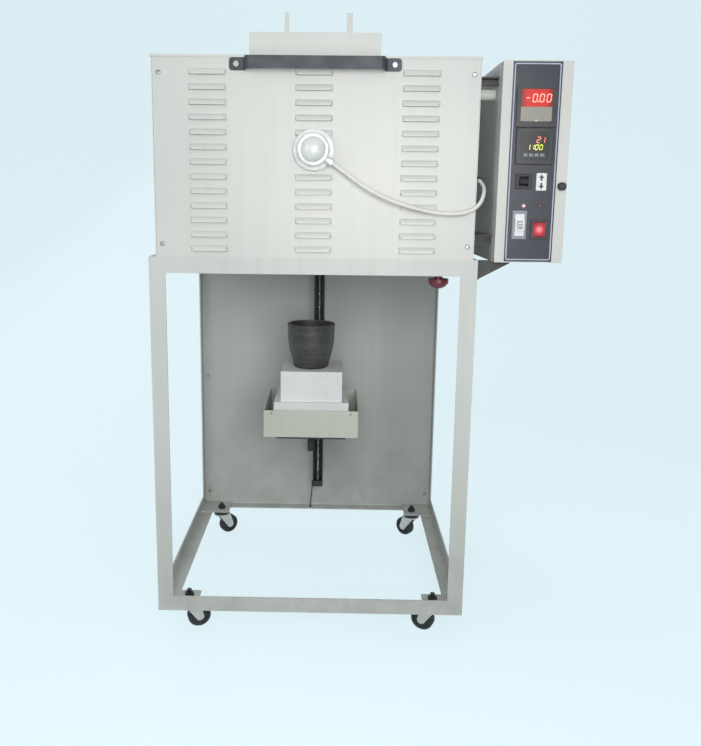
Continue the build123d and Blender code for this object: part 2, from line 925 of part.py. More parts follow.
def boot_arc():
    """Centre line of the boot's elbow, from its flange towards the cable, and its start."""
    lean = radians(boot_lean)
    side = Vector(0, -cos(lean), -sin(lean))
    start = Vector(body_right + boot_flange, boot_y, boot_z)
    plane = Plane(origin=start, x_dir=(1, 0, 0), z_dir=Vector(1, 0, 0).cross(side))
    return plane * JernArc((0, 0), (1, 0), boot_bend, boot_turn)


def boot_point(distance):
    """Point on the line out of the boot's mouth, at a distance from its end face."""
    arc = boot_arc()
    return tuple(arc @ 1 + (arc % 1) * distance)


def cable_tube(points, radius):
    """Round tube along straight runs joined by arcs as large as the runs allow, and the arc radii."""
    places = [Vector(*point) for point in points]
    runs = [b - a for a, b in zip(places, places[1:])]
    radii = []
    for before, after in zip(runs, runs[1:]):
        turn = radians(before.get_angle(after))
        radii.append(0.45 * min(before.length, after.length) / tan(turn / 2))
    path = FilletPolyline(*places, radius=radii)
    tube = sweep(Plane(origin=path @ 0, z_dir=path % 0) * Circle(radius), path)
    print("arc radii", [round(value, 1) for value in radii], "length", round(path.length, 1),
          "volume ratio", round(tube.volume / (path.length * pi * radius**2), 5))
    return tube


def cable_grommet():
    """Rubber boot on the body's right side: flange, elbow towards the cable, plug in the wall."""
    flange = rod(boot_flange_radius, (body_right, boot_y, boot_z), (body_right + boot_flange, boot_y, boot_z))
    flange += rod(boot_radius, (body_right - sheet, boot_y, boot_z), (body_right, boot_y, boot_z))
    arc = boot_arc()
    elbow = sweep(Plane(origin=arc @ 0, z_dir=arc % 0) * Circle(boot_radius), arc)
    return flange + elbow


def lift_column():
    """Channel open to the front, with its top flange, rear stays and the screw's two bearings."""
    x, half = column_x, column_width / 2
    top = column_top - column_flange_thickness
    channel = block(x - half, x + half, column_front, column_back, column_bottom, top)
    channel -= block(x - half + column_wall, x + half - column_wall, column_front,
                     column_back - column_wall, column_bottom, top)
    reach = column_flange / 2
    flange = block(x - reach, x + reach, screw_y - reach, screw_y + reach, top, column_top)
    flange -= rod(screw_radius + running_gap, (x, screw_y, top), (x, screw_y, column_top))
    pieces = [channel + flange]
    panel_face = stand_depth - angle_wall - sheet
    for z in stay_heights:
        stay = block(x - stay_width / 2, x + stay_width / 2, column_back, panel_face, z, z + stay_thickness)
        for y0 in (column_back, panel_face - stay_thickness):
            stay += block(x - stay_width / 2, x + stay_width / 2, y0, y0 + stay_thickness, z, z + stay_width)
        pieces.append(stay)
    inner = half - column_wall
    foot = block(x - inner, x + inner, column_front, column_back - column_wall, column_bottom,
                 column_bottom + bearing_height)
    foot -= rod(screw_radius + running_gap, (x, screw_y, column_bottom + bearing_floor),
                (x, screw_y, column_bottom + bearing_height))
    deck = column_top + deck_thickness
    collar = rod(bearing_flange_radius, (x, screw_y, deck), (x, screw_y, deck + bearing_height))
    collar += rod(bearing_flange_radius / 2, (x, screw_y, column_top), (x, screw_y, deck))
    collar -= rod(screw_radius + running_gap, (x, screw_y, column_top), (x, screw_y, deck + bearing_height))
    return pieces + [foot, collar]


def lead_screw():
    """Lead screw from the foot bearing through the deck into the motor's coupling."""
    low = column_bottom + bearing_floor + running_gap
    high = column_top + deck_thickness + bearing_height + coupling_height
    screw = rod(screw_radius, (column_x, screw_y, low), (column_x, screw_y, high))
    return chamfer(screw.edges().sort_by(Axis.Z)[0], slab_edge)


def gear_motor():
    """Gearbox on four feet over the screw, with the motor upright on it."""
    x, y = column_x, screw_y
    deck = column_top + deck_thickness
    low = deck + bearing_height + motor_feet
    half = motor_base / 2
    box = block(x - half, x + half, y - half, y + half, low, low + gearbox_height)
    box = fillet(box.edges().filter_by(Axis.Z), gearbox_corner)
    for dx in (-1, 1):
        for dy in (-1, 1):
            foot = (x + dx * (half - motor_foot_inset), y + dy * (half - motor_foot_inset))
            box += rod(motor_foot_radius, (*foot, deck), (*foot, low))
    box -= rod(screw_radius + running_gap, (x, y, low), (x, y, low + coupling_height))
    motor = rod(motor_radius, (x, y, low + gearbox_height), (x, y, low + gearbox_height + motor_length))
    motor = fillet(motor.edges().sort_by(Axis.Z)[-1], motor_round)
    return box + motor


def lift_carriage():
    """Carriage block in front of the column, its nut inside the channel and a cheek at each side."""
    x, half = column_x, column_width / 2
    back = column_front - carriage_clear
    front = back - carriage_depth
    wide = half + carriage_gap + cheek_thickness
    body = block(x - bracket_back_width / 2, x + bracket_back_width / 2, front, back, carriage_bottom,
                 carriage_top)
    for side in (-1, 1):
        a, b = sorted((x + side * (half + carriage_gap), x + side * wide))
        body += block(a, b, back, back + cheek_reach, carriage_bottom, carriage_top)
    tongue = half - column_wall - 2 * carriage_gap
    middle = (carriage_bottom + carriage_top) / 2
    body += block(x - tongue, x + tongue, back, column_back - column_wall - 2 * carriage_gap,
                  middle - carriage_depth, middle + carriage_depth)
    return body - rod(screw_radius + running_gap, (x, screw_y, carriage_bottom), (x, screw_y, carriage_top))


def hearth_bracket():
    """Plate under the tray, with a back plate on the carriage and two gussets below."""
    tray_bottom = tray_top - tray_height
    face = column_front - carriage_clear - carriage_depth
    front = tray_front + bracket_plate
    plate = block(hearth_x - bracket_width / 2, hearth_x + bracket_width / 2, front, face,
                  tray_bottom - bracket_plate, tray_bottom)
    half = bracket_back_width / 2
    plate += block(column_x - half, column_x + half, face - bracket_back, face, carriage_bottom,
                   carriage_top)
    under = tray_bottom - bracket_plate
    outline = Polyline((face - bracket_back, under), (gusset_start, under),
                       (face - bracket_back, carriage_bottom), close=True)
    for side in (-1, 1):
        x = column_x + side * (half - gusset_inset) - bracket_plate / 2
        plate += Pos(x, 0, 0) * extrude(Plane.YZ * make_face(outline), bracket_plate)
    return plate


def hearth_tray():
    """Shallow folded tray, open at the top."""
    x0 = hearth_x - tray_width / 2
    x1 = hearth_x + tray_width / 2
    y1 = tray_front + tray_depth
    low = tray_top - tray_height
    tray = block(x0, x1, tray_front, y1, low, tray_top)
    tray = fillet(tray.edges().filter_by(Axis.Z), tray_corner)
    tray -= block(x0 + tray_sheet, x1 - tray_sheet, tray_front + tray_sheet, y1 - tray_sheet,
                  low + tray_sheet, tray_top)
    for x, z in tray_screw_places():
        tray -= rod(tray_screw_radius / 2, (x, tray_front, z), (x, tray_front + tray_sheet, z))
    return tray


def tray_screw_places():
    """Centres of the two screws in the tray's front wall."""
    return [(hearth_x + side * (tray_width / 2 - tray_screw_inset), tray_top - tray_screw_drop)
            for side in (-1, 1)]


def tray_screws():
    """Two small screws near the tray's front corners."""
    return [pan_screw((x, tray_front, z), (0, -1, 0), tray_screw_radius, tray_screw_radius / 2)
            for x, z in tray_screw_places()]


def hearth_slab():
    """Ceramic slab that stands in the tray and closes the mouth of the deck."""
    slab = block(hearth_x - slab_width / 2, hearth_x + slab_width / 2, slab_front, slab_front + slab_depth,
                 slab_bottom, slab_top)
    return chamfer(slab.edges().group_by(Axis.Z)[-1], slab_edge)


def hearth_bricks():
    """Plug of three bricks side by side on the slab, the middle one full width."""
    edge = hearth_x - plug_width / 2
    joint = (plug_width - centre_brick) / 2
    bricks = []
    for x0, x1 in ((0, joint), (joint, joint + centre_brick), (joint + centre_brick, plug_width)):
        brick = block(edge + x0, edge + x1, plug_front, plug_front + plug_width, plug_bottom, plug_top)
        bricks.append(chamfer(brick.edges().filter_by(Axis.Z), brick_edge))
    return bricks


def crucible():
    """Crucible with a slight barrel taper, rounded foot and a rim band."""
    h, rim, foot, wall = crucible_height, crucible_rim_radius, crucible_foot_radius, crucible_wall
    corner = crucible_corner
    band = h - crucible_band
    waist = (crucible_belly * rim, crucible_belly_height * h)
    slopes = (crucible_foot_slope, crucible_rim_slope)
    outer = Spline((foot, corner), waist, (rim - rim_step, band), tangents=slopes)
    inner = Spline((foot - wall, corner + wall), (waist[0] - wall, waist[1]), (rim - wall, band),
                   tangents=slopes)
    rims = Polyline((rim - rim_step, band), (rim, band + rim_step), (rim, h - rim_round), (rim - rim_round, h),
                    (rim - wall, h), (rim - wall, band))
    base = Polyline((foot - wall, corner + wall), (foot - 2 * wall, wall), (0, wall), (0, 0),
                    (foot - corner, 0))
    edge = JernArc((foot - corner, 0), (1, 0), corner, 90)
    profile = Plane.XZ * make_face(Wire([*edge.edges(), *outer.edges(), *rims.edges(), *inner.edges(),
                                         *base.edges()]))
    return Pos(hearth_x + crucible_shift, crucible_y, plug_top) * revolve(profile, Axis.Z)


def limit_switch():
    """Lower limit switch on the column's left side, with its lever up to the carriage."""
    x1 = column_left
    x0 = x1 - switch_width
    y0 = screw_y - switch_depth / 2
    top = switch_bottom + switch_height
    body = block(x0, x1, y0, y0 + switch_depth, switch_bottom, top)
    body = fillet(body.edges().filter_by(Axis.Y), switch_corner)
    lever_x = x1 - lever_inset
    lever = block(lever_x - lever_width, lever_x, screw_y - lever_depth / 2, screw_y + lever_depth / 2, top,
                  carriage_bottom - running_gap)
    return body + lever


def earth_lead():
    """Earth lead from the column's foot to the rear bottom rail, with a ring lug at each end."""
    x = column_left - earth_radius
    high = column_bottom + earth_lug
    foot = (x - earth_foot[0], screw_y + earth_foot[1])
    seat = angle_wall + earth_foot_tag
    points = [(x - left, screw_y + back, high - down) for left, back, down in earth_run]
    tube = cable_tube([*points, (*foot, seat + earth_radius)], earth_radius)
    upper = rod(earth_lug / 2, (column_left - earth_tag, screw_y, high + earth_lug / 2),
                (column_left, screw_y, high + earth_lug / 2))
    lower = rod(earth_lug / 2, (*foot, angle_wall), (*foot, seat))
    return [tube, upper, lower]


def control_box():
    """Open-fronted sheet box with ears for the door's hinge pins, and its rear wall."""
    front = door_back + door_gap
    rear = box_back - sheet
    box = block(box_left, box_right, front, rear, box_bottom, box_top)
    box -= block(box_left + sheet, box_right - sheet, front, rear, box_bottom + sheet, box_top - sheet)
    box -= rod(conduit_radius, (box_left, conduit_y, conduit_z), (box_left + sheet, conduit_y, conduit_z))
    wall = block(box_left, box_right, rear, box_back, box_bottom, box_top)
    wall -= rod(main_gland_shank, (main_gland_x, rear, main_gland_z), (main_gland_x, box_back, main_gland_z))
    x, y = hinge_axis()
    reach = hinge_inset - sheet - casing_gap
    for side, z in ((1, box_bottom), (-1, box_top)):
        far = z + side * (sheet + casing_gap + hinge_ear)
        low, high = sorted((z + side * (sheet + casing_gap), far))
        ear = block(x - reach, x + reach, y, front + casing_flange, low, high)
        ear += rod(reach, (x, y, low), (x, y, high))
        ear += block(x - reach, x + reach, front + sheet, front + casing_flange, *sorted((z + side * sheet, far)))
        pin_low, pin_high = sorted((z + side * casing_gap, far))
        ear += rod(hinge_pin_radius, (x, y, pin_low), (x, y, pin_high))
        box += ear
    return [box, wall]


def hinge_axis():
    """Axis of the control door's hinge pins, inside the door's left front corner."""
    return box_left + hinge_inset, door_front + hinge_inset


def panel_items():
    """Openings of the control door: centre, width and height of what passes through it."""
    x = fascia_centre
    items = [(x, meter_z, meter_body, meter_body), (x, controller_z, meter_body, controller_body)]
    items.append((lift_switch_x, lift_switch_z, lift_switch_width - 2 * lift_switch_wall,
                  lift_switch_height - 2 * lift_switch_wall))
    items.append((breaker_x, breaker_z, breaker_width, breaker_height))
    items.append((rocker_x, rocker_z, rocker_frame_width - 2 * rocker_rim,
                  rocker_frame_height - 2 * rocker_rim))
    return items


def control_door():
    """Pan-shaped door with the openings for the instruments and the holes for the hinge pins."""
    door = block(box_left, box_right, door_front, door_back, box_bottom, box_top)
    door -= block(box_left + sheet, box_right - sheet, door_front + sheet, door_back, box_bottom + sheet,
                  box_top - sheet)
    notch = 2 * (sheet + casing_gap) + hinge_ear
    for low, high in ((box_bottom, box_bottom + notch), (box_top - notch, box_top)):
        door -= block(box_left, box_left + sheet, door_front + sheet, door_back, low, high)
    return door - panel_cuts(door_front, door_front + sheet) - knob_hole() - pin_holes()


def panel_cuts(y0, y1):
    """Cutters for the instruments and lamps between two depths."""
    cuts = [block(x - w / 2, x + w / 2, y0, y1, z - h / 2, z + h / 2) for x, z, w, h in panel_items()]
    return cuts + [rod(lamp_tail_radius, (x, y0, lamp_z), (x, y1, lamp_z)) for x in lamp_x]


def knob_hole():
    """Hole in the door for the knob's shaft."""
    return rod(hinge_pin_radius + running_gap, (knob_x, door_front, knob_z),
               (knob_x, door_front + sheet, knob_z))


def pin_holes():
    """Holes in the door's top and bottom edges for the hinge pins."""
    x, y = hinge_axis()
    return rod(hinge_pin_radius + running_gap, (x, y, box_bottom), (x, y, box_top))


def panel_fascia():
    """Thin printed fascia on the door, cut out like the door."""
    y0 = door_front - fascia_thickness
    plate = block(fascia_centre - fascia_width / 2, fascia_centre + fascia_width / 2, y0, door_front,
                  box_bottom + fascia_margin, box_top - fascia_margin)
    return plate - panel_cuts(y0, door_front)


def current_meter():
    """Panel meter: bezel with a recessed window, and its body behind the door."""
    face = door_front - fascia_thickness
    x, z, half = fascia_centre, meter_z, meter_size / 2
    bezel = block(x - half, x + half, face - meter_bezel, face, z - half, z + half)
    bezel = fillet(bezel.edges().filter_by(Axis.Y), meter_corner)
    window = half - meter_border
    bezel -= block(x - window, x + window, face - meter_bezel, face - meter_bezel + meter_recess,
                   z - half + meter_border + meter_border_low - meter_recess, z + window)
    body = meter_body / 2 - running_gap
    return bezel + block(x - body, x + body, face, face + meter_depth, z - body, z + body)


def temperature_controller():
    """Temperature controller: stepped bezel with a recessed face, and its body behind the door."""
    face = door_front - fascia_thickness
    x, z = fascia_centre, controller_z
    w, h = controller_width / 2, controller_height / 2
    bezel = block(x - w, x + w, face - controller_bezel, face, z - h, z + h)
    bezel = fillet(bezel.edges().filter_by(Axis.Y), meter_corner)
    bezel = chamfer(bezel.faces().sort_by(Axis.Y)[0].edges(), controller_bevel)
    w, h = w - controller_border, h - controller_border
    bezel -= block(x - w, x + w, face - controller_bezel, face - controller_bezel + controller_recess,
                   z - h, z + h)
    w, h = meter_body / 2 - running_gap, controller_body / 2 - running_gap
    return bezel + block(x - w, x + w, face, face + meter_depth, z - h, z + h)


def lift_switch():
    """Frame and body of the lift switch, open in front for its paddle."""
    face = door_front - fascia_thickness
    x, z = lift_switch_x, lift_switch_z
    w, h, wall = lift_switch_width / 2, lift_switch_height / 2, lift_switch_wall
    frame = block(x - w, x + w, face - lift_switch_rise, face, z - h, z + h)
    frame = chamfer(frame.faces().sort_by(Axis.Y)[0].edges(), switch_bevel)
    body = block(x - w + wall + running_gap, x + w - wall - running_gap, face, face + lift_switch_depth,
                 z - h + wall + running_gap, z + h - wall - running_gap)
    side = paddle_width / 2 + casing_gap
    up = paddle_height / 2 + paddle_margin
    well = block(x - side, x + side, face - lift_switch_rise, face + paddle_well, z - up, z + up)
    reach = side + paddle_pivot
    y = face + paddle_pivot_depth
    hole = rod(paddle_pivot + running_gap, (x - reach, y, z), (x + reach, y, z))
    return frame + body - well - hole


def lift_paddle():
    """Paddle that rocks up and down on a pivot in the switch."""
    face = door_front - fascia_thickness
    x, z, half = lift_switch_x, lift_switch_z, paddle_height / 2
    tip = face - paddle_reach - lift_switch_rise
    pivot_y = face + paddle_pivot_depth
    wing = (face - paddle_step, half - switch_bevel)
    outline = Polyline((pivot_y, z - paddle_nose), (wing[0], z - wing[1]), (tip + paddle_lip, z - paddle_nose),
                       (tip, z), (tip + paddle_lip, z + paddle_nose), (wing[0], z + wing[1]),
                       (pivot_y, z + paddle_nose), (face + paddle_heel, z), close=True)
    paddle = extrude(Plane.YZ * make_face(outline), paddle_width / 2, both=True)
    reach = paddle_width / 2 + paddle_pivot
    pivot = rod(paddle_pivot, (-reach, pivot_y, z), (reach, pivot_y, z))
    return Pos(x, 0, 0) * (paddle + pivot)


def circuit_breaker():
    """Breaker behind a surround on the fascia, with a slot for its toggle."""
    face = door_front - fascia_thickness
    x, z = breaker_x, breaker_z
    w, h = breaker_frame_width / 2, breaker_frame_height / 2
    bw, bh = breaker_width / 2 - running_gap, breaker_height / 2 - running_gap
    front = face - breaker_frame_rise
    frame = block(x - w, x + w, front, face, z - h, z + h)
    frame = chamfer(frame.faces().sort_by(Axis.Y)[0].edges(), switch_bevel)
    frame -= block(x - bw, x + bw, front, face, z - bh, z + bh)
    body = block(x - bw, x + bw, face - breaker_face, face + breaker_depth, z - bh, z + bh)
    up = bh * breaker_nose_share
    nose = block(x - bw, x + bw, face - breaker_nose, face - breaker_face, z - up, z + up)
    tw, th = toggle_width / 2 + toggle_gap, toggle_height / 2 + toggle_sweep
    well = block(x - tw, x + tw, face - breaker_nose, face + breaker_well, z - th, z + th)
    return [frame, body + nose - well]


def breaker_toggle():
    """Breaker toggle, a tapered lever on a round hub."""
    face = door_front - fascia_thickness
    x, z, half = breaker_x, breaker_z, toggle_width / 2
    y = face - breaker_face
    hub = rod(toggle_hub, (x - half, y, z), (x + half, y, z))
    lever = block(-half, half, -toggle_reach, 0, -toggle_thickness / 2, toggle_thickness / 2)
    lever = chamfer(lever.edges().filter_by(Axis.X).group_by(Axis.Y)[0], toggle_edge)
    return hub + Pos(x, y, z) * Rot(-toggle_tilt, 0, 0) * lever


def power_switch():
    """Frame and body of the illuminated power switch, open in front for its rocker."""
    face = door_front - fascia_thickness
    x, z = rocker_x, rocker_z
    w, h = rocker_frame_width / 2, rocker_frame_height / 2
    front = face - rocker_rise
    frame = block(x - w, x + w, front, face, z - h, z + h)
    frame = fillet(frame.edges().filter_by(Axis.Y), rocker_corner)
    frame = chamfer(frame.faces().sort_by(Axis.Y)[0].edges(), rocker_bevel)
    rim = rocker_rim
    body = block(x - w + rim + running_gap, x + w - rim - running_gap, face, face + rocker_depth,
                 z - h + rim + running_gap, z + h - rim - running_gap)
    w, h = w - rim - rocker_wall, h - rim - rocker_wall
    well = block(x - w, x + w, front, face + rocker_well, z - h, z + h)
    reach = w + rocker_wall
    y = face + rocker_pivot_depth
    return frame + body - well - rod(rocker_pivot + running_gap, (x - reach, y, z), (x + reach, y, z))


def power_rocker():
    """Rocker with two shallow wings that meet over its pivot."""
    face = door_front - fascia_thickness
    x, z = rocker_x, rocker_z
    w = rocker_frame_width / 2 - rocker_rim - rocker_wall - running_gap
    h = rocker_frame_height / 2 - rocker_rim - rocker_wall - 2 * running_gap
    y = face + rocker_pivot_depth
    short = h - switch_bevel
    outline = Polyline((face - rocker_high, z + short), (face - rocker_middle_rise, z),
                       (face - rocker_low, z - h + casing_gap), (y, z - short), (face + rocker_heel, z),
                       (y, z + short), close=True)
    reach = w + rocker_wall
    rocker = extrude(Plane.YZ * make_face(outline), w, both=True)
    return Pos(x, 0, 0) * (rocker + rod(rocker_pivot, (-reach, y, z), (reach, y, z)))


def indicator_lamps():
    """Two round lamps with domed lenses in thin bezels."""
    face = door_front - fascia_thickness
    lamps = []
    for x in lamp_x:
        lamp = rod(lamp_radius, (x, face - lamp_rim, lamp_z), (x, face, lamp_z))
        lens = rod(lamp_lens_radius, (x, face - lamp_lens_rise, lamp_z), (x, face - lamp_rim, lamp_z))
        lens = fillet(lens.edges().sort_by(Axis.Y)[0], lamp_lens_round)
        tail = rod(lamp_tail_radius, (x, face, lamp_z), (x, face + lamp_tail, lamp_z))
        lamps.append(lamp + lens + tail)
    return lamps


def door_knob():
    """Quarter-turn knob with its shaft and the cam behind the door."""
    x, z = knob_x, knob_z
    neck = door_front - knob_neck
    grip = rod(knob_radius, (x, door_front - knob_length, z), (x, neck, z))
    grip = fillet(grip.edges().sort_by(Axis.Y)[0], knob_round)
    grip += rod(knob_radius - knob_neck, (x, neck, z), (x, door_front - running_gap, z))
    grip += rod(hinge_pin_radius, (x, door_front - running_gap, z), (x, door_front + knob_shaft, z))
    cam = block(x - cam_width / 2, x + cam_width / 2, door_front + cam_depth,
                door_front + cam_depth + cam_thickness, z - cam_reach, z + cam_tail)
    return grip + cam


def box_brackets():
    """Four square stand-off bars between body and box, and the folded gusset under the box."""
    pieces = []
    for z in (box_bottom + bar_low, box_bottom + bar_high):
        for y in (bar_front, bar_rear):
            bar = block(body_right, box_left, y, y + bar_depth, z - bar_height / 2, z + bar_height / 2)
            bar -= block(body_right, box_left, y, y + bar_depth - bar_wall, z - bar_height / 2 + bar_wall,
                         z + bar_height / 2 - bar_wall)
            pieces.append(bar)
    x0 = half_width
    under = box_bottom
    y = angle_wall
    web = make_face(Polyline((x0, under - gusset_sheet), (x0 + gusset_reach, under - gusset_sheet),
                             (x0, under - gusset_drop), close=True))
    gusset = Pos(0, y, 0) * extrude(Plane.XZ * web, -gusset_sheet)
    gusset += block(x0, x0 + gusset_reach, y, y + angle_leg - angle_wall, under - gusset_sheet, under)
    gusset += block(x0, x0 + gusset_sheet, y, y + angle_leg - angle_wall, under - gusset_drop, under)
    return pieces + [gusset]


def cable_conduit():
    """Short conduit for the power leads between body and box."""
    ends = (body_right - sheet, conduit_y, conduit_z), (box_left + sheet, conduit_y, conduit_z)
    return rod(conduit_radius, *ends) - rod(conduit_radius - conduit_wall, *ends)


def mains_gland():
    """Cable gland in the box's rear wall, with a clear bore for the mains lead."""
    def at(y):
        return main_gland_x, y, main_gland_z

    nut = hexagon(2 * main_gland_radius, at(box_back), at(box_back + main_gland_nut))
    end = at(box_back + main_gland_length)
    dome = rod(main_gland_radius - casing_gap, at(box_back + main_gland_nut), end)
    dome = fillet(dome.edges().sort_by(Axis.Y)[-1], main_gland_round)
    start = at(box_back - main_gland_inside)
    shank = rod(main_gland_shank, start, at(box_back))
    lock = hexagon(2 * main_gland_radius, at(box_back - main_gland_lock), at(box_back - sheet))
    return nut + dome + shank + lock - rod(main_gland_bore, start, end)


def control_gear():
    """Finned power controller with its relay, and the terminal block, on the box's rear wall."""
    back = box_back - sheet
    x0 = box_left + sheet + gear_gap
    x1 = box_right - sheet - gear_gap
    z0 = box_bottom + gear_middle
    sink = block(x0, x1, back - sink_base, back, z0, z0 + sink_height)
    pitch = (x1 - x0 - fin_thickness) / (fin_count - 1)
    for i in range(fin_count):
        x = x0 + i * pitch
        sink += block(x, x + fin_thickness, back - fin_reach, back - sink_base, z0, z0 + sink_height)
    middle = (x0 + x1) / 2
    relay = block(middle - relay_width / 2, middle + relay_width / 2, back - fin_reach - relay_depth,
                  back - fin_reach, z0 + relay_low, z0 + relay_low + relay_height)
    low = z0 - strip_low
    strip = block(x0 + strip_inset, x1 - strip_inset, back - strip_depth, back, low, low + strip_height)
    step = (x1 - x0 - 2 * way_inset) / strip_ways
    for i in range(strip_ways):
        x = x0 + way_inset + i * step
        strip -= block(x + way_wall, x + step - way_wall, back - strip_depth, back - strip_depth + way_depth,
                       low + way_margin, low + strip_height - way_margin)
    return [sink, relay, strip]


def stop_base():
    """Base of the emergency stop, hung under the deck, with its collar."""
    w = stop_base_width / 2
    low = body_base - stop_base_height
    base = block(stop_x - w, stop_x + w, stop_y - w, stop_y + w, low, body_base)
    base = fillet(base.edges().filter_by(Axis.Z), stop_base_corner)
    end = (stop_x, stop_y, low - stop_collar)
    base += rod(stop_collar_radius, end, (stop_x, stop_y, low))
    return base - rod(stop_stem_radius + running_gap, end, (stop_x, stop_y, low + stop_well))


def stop_button():
    """Mushroom button, pressed upwards."""
    cap_top = stop_cap_bottom + stop_cap_height
    cap = domed(stop_radius, stop_cap_side, stop_cap_height - stop_cap_side)
    cap = Plane(origin=(stop_x, stop_y, cap_top), z_dir=(0, 0, -1)) * cap
    return cap + rod(stop_stem_radius, (stop_x, stop_y, cap_top), (stop_x, stop_y, cap_top + stop_stem))


os.makedirs("parts", exist_ok=True)

write(stand_frame(), "stand_frame")
write([piece for x, y, turn in castor_places().values() for piece in castor_stem(x, y)], "castor_stems")
for corner, (x, y, turn) in castor_places().items():
    place = Pos(x, y, 0) * Rot(0, 0, turn)
    write([place * piece for piece in castor_fork()], f"castor_fork_{corner}")
    write(place * castor_wheel(), f"castor_wheel_{corner}")

write(front_panel(), "front_panel")
write(side_panels(), "side_panels")
write(back_panels(), "back_panels")
write(top_panel(), "top_panel")
write(deck_plate(), "deck_plate")
write(body_screws(), "body_screws")
write(front_handle(), "front_handle")

write(insulation(), "insulation")
write(inner_casing(), "inner_casing")
write(heating_elements(), "heating_elements")
write(element_clamps(), "element_clamps")
write(terminal_cover(), "terminal_cover")
write(cover_lugs(), "cover_lugs")

for piece, name in zip(thermocouple(), ("head", "cap", "gland", "sheath")):
    write(piece, f"thermocouple_{name}")
write(cable_tube(cable_points(), cable_radius), "thermocouple_cable")
write(cable_grommet(), "cable_grommet")

write(lift_column(), "lift_column")
write(lead_screw(), "lead_screw")
write(gear_motor(), "gear_motor")
write(lift_carriage(), "lift_carriage")
write(hearth_bracket(), "hearth_bracket")
write(hearth_tray(), "hearth_tray")
write(tray_screws(), "tray_screws")
write(hearth_slab(), "hearth_slab")
write(hearth_bricks(), "hearth_bricks")
write(crucible(), "crucible")
write(limit_switch(), "limit_switch")
write(earth_lead(), "earth_lead")

write(control_box(), "control_box")
write(box_brackets(), "box_brackets")
write(cable_conduit(), "cable_conduit")
write(control_door(), "control_door")
write(panel_fascia(), "panel_fascia")
write(current_meter(), "current_meter")
write(temperature_controller(), "temperature_controller")
write(lift_switch(), "lift_switch")
write(lift_paddle(), "lift_paddle")
write(circuit_breaker(), "circuit_breaker")
write(breaker_toggle(), "breaker_toggle")
write(power_switch(), "power_switch")
write(power_rocker(), "power_rocker")
write(indicator_lamps(), "indicator_lamps")
write(door_knob(), "door_knob")
write(mains_gland(), "mains_gland")
write(control_gear(), "control_gear")
write(stop_base(), "stop_base")
write(stop_button(), "stop_button")
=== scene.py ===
"""Looks of the bottom loading furnace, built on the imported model. Lengths are in metres."""
from math import cos, pi, radians, sin

import bmesh
import bpy
from mathutils import Matrix, Vector


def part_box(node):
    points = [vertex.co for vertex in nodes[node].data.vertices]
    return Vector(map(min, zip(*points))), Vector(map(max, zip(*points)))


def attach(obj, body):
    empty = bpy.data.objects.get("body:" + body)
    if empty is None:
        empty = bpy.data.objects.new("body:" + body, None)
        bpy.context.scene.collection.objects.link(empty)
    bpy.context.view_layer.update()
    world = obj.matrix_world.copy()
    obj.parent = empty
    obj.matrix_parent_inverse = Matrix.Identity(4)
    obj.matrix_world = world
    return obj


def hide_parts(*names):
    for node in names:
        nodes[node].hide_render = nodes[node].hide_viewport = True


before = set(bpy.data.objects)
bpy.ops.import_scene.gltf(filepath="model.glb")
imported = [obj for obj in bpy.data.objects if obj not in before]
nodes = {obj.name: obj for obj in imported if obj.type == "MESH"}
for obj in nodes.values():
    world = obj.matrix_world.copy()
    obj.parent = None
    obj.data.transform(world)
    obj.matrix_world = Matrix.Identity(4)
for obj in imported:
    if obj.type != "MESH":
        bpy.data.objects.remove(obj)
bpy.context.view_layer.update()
MM = 0.001


# Camera

image_width, image_height = 701, 746
focal_pixels = 812.8
centre_pixel = (322.9, 351.8)
camera_yaw, camera_pitch, camera_roll = radians(-0.86), radians(10.71), radians(0.62)
camera_place = (-0.0321, -1.8663, 0.9249)


def set_camera():
    """Puts the camera where the photograph was taken from."""
    data = bpy.data.cameras.new("photo_camera")
    camera = bpy.data.objects.new("photo_camera", data)
    bpy.context.scene.collection.objects.link(camera)
    ahead = Vector((sin(camera_yaw) * cos(camera_pitch), cos(camera_yaw) * cos(camera_pitch),
                    -sin(camera_pitch)))
    level = Vector((cos(camera_yaw), -sin(camera_yaw), 0))
    upright = level.cross(ahead)
    right = level * cos(camera_roll) + upright * sin(camera_roll)
    up = upright * cos(camera_roll) - level * sin(camera_roll)
    turn = Matrix((right, up, -ahead)).transposed().to_4x4()
    camera.matrix_world = Matrix.Translation(camera_place) @ turn
    data.sensor_width = 36
    data.lens = focal_pixels / image_height * data.sensor_width
    data.shift_x = (image_width / 2 - centre_pixel[0]) / image_height
    data.shift_y = (centre_pixel[1] - image_height / 2) / image_height
    data.clip_start, data.clip_end = 0.05, 60
    bpy.context.scene.camera = camera


# Shader expressions

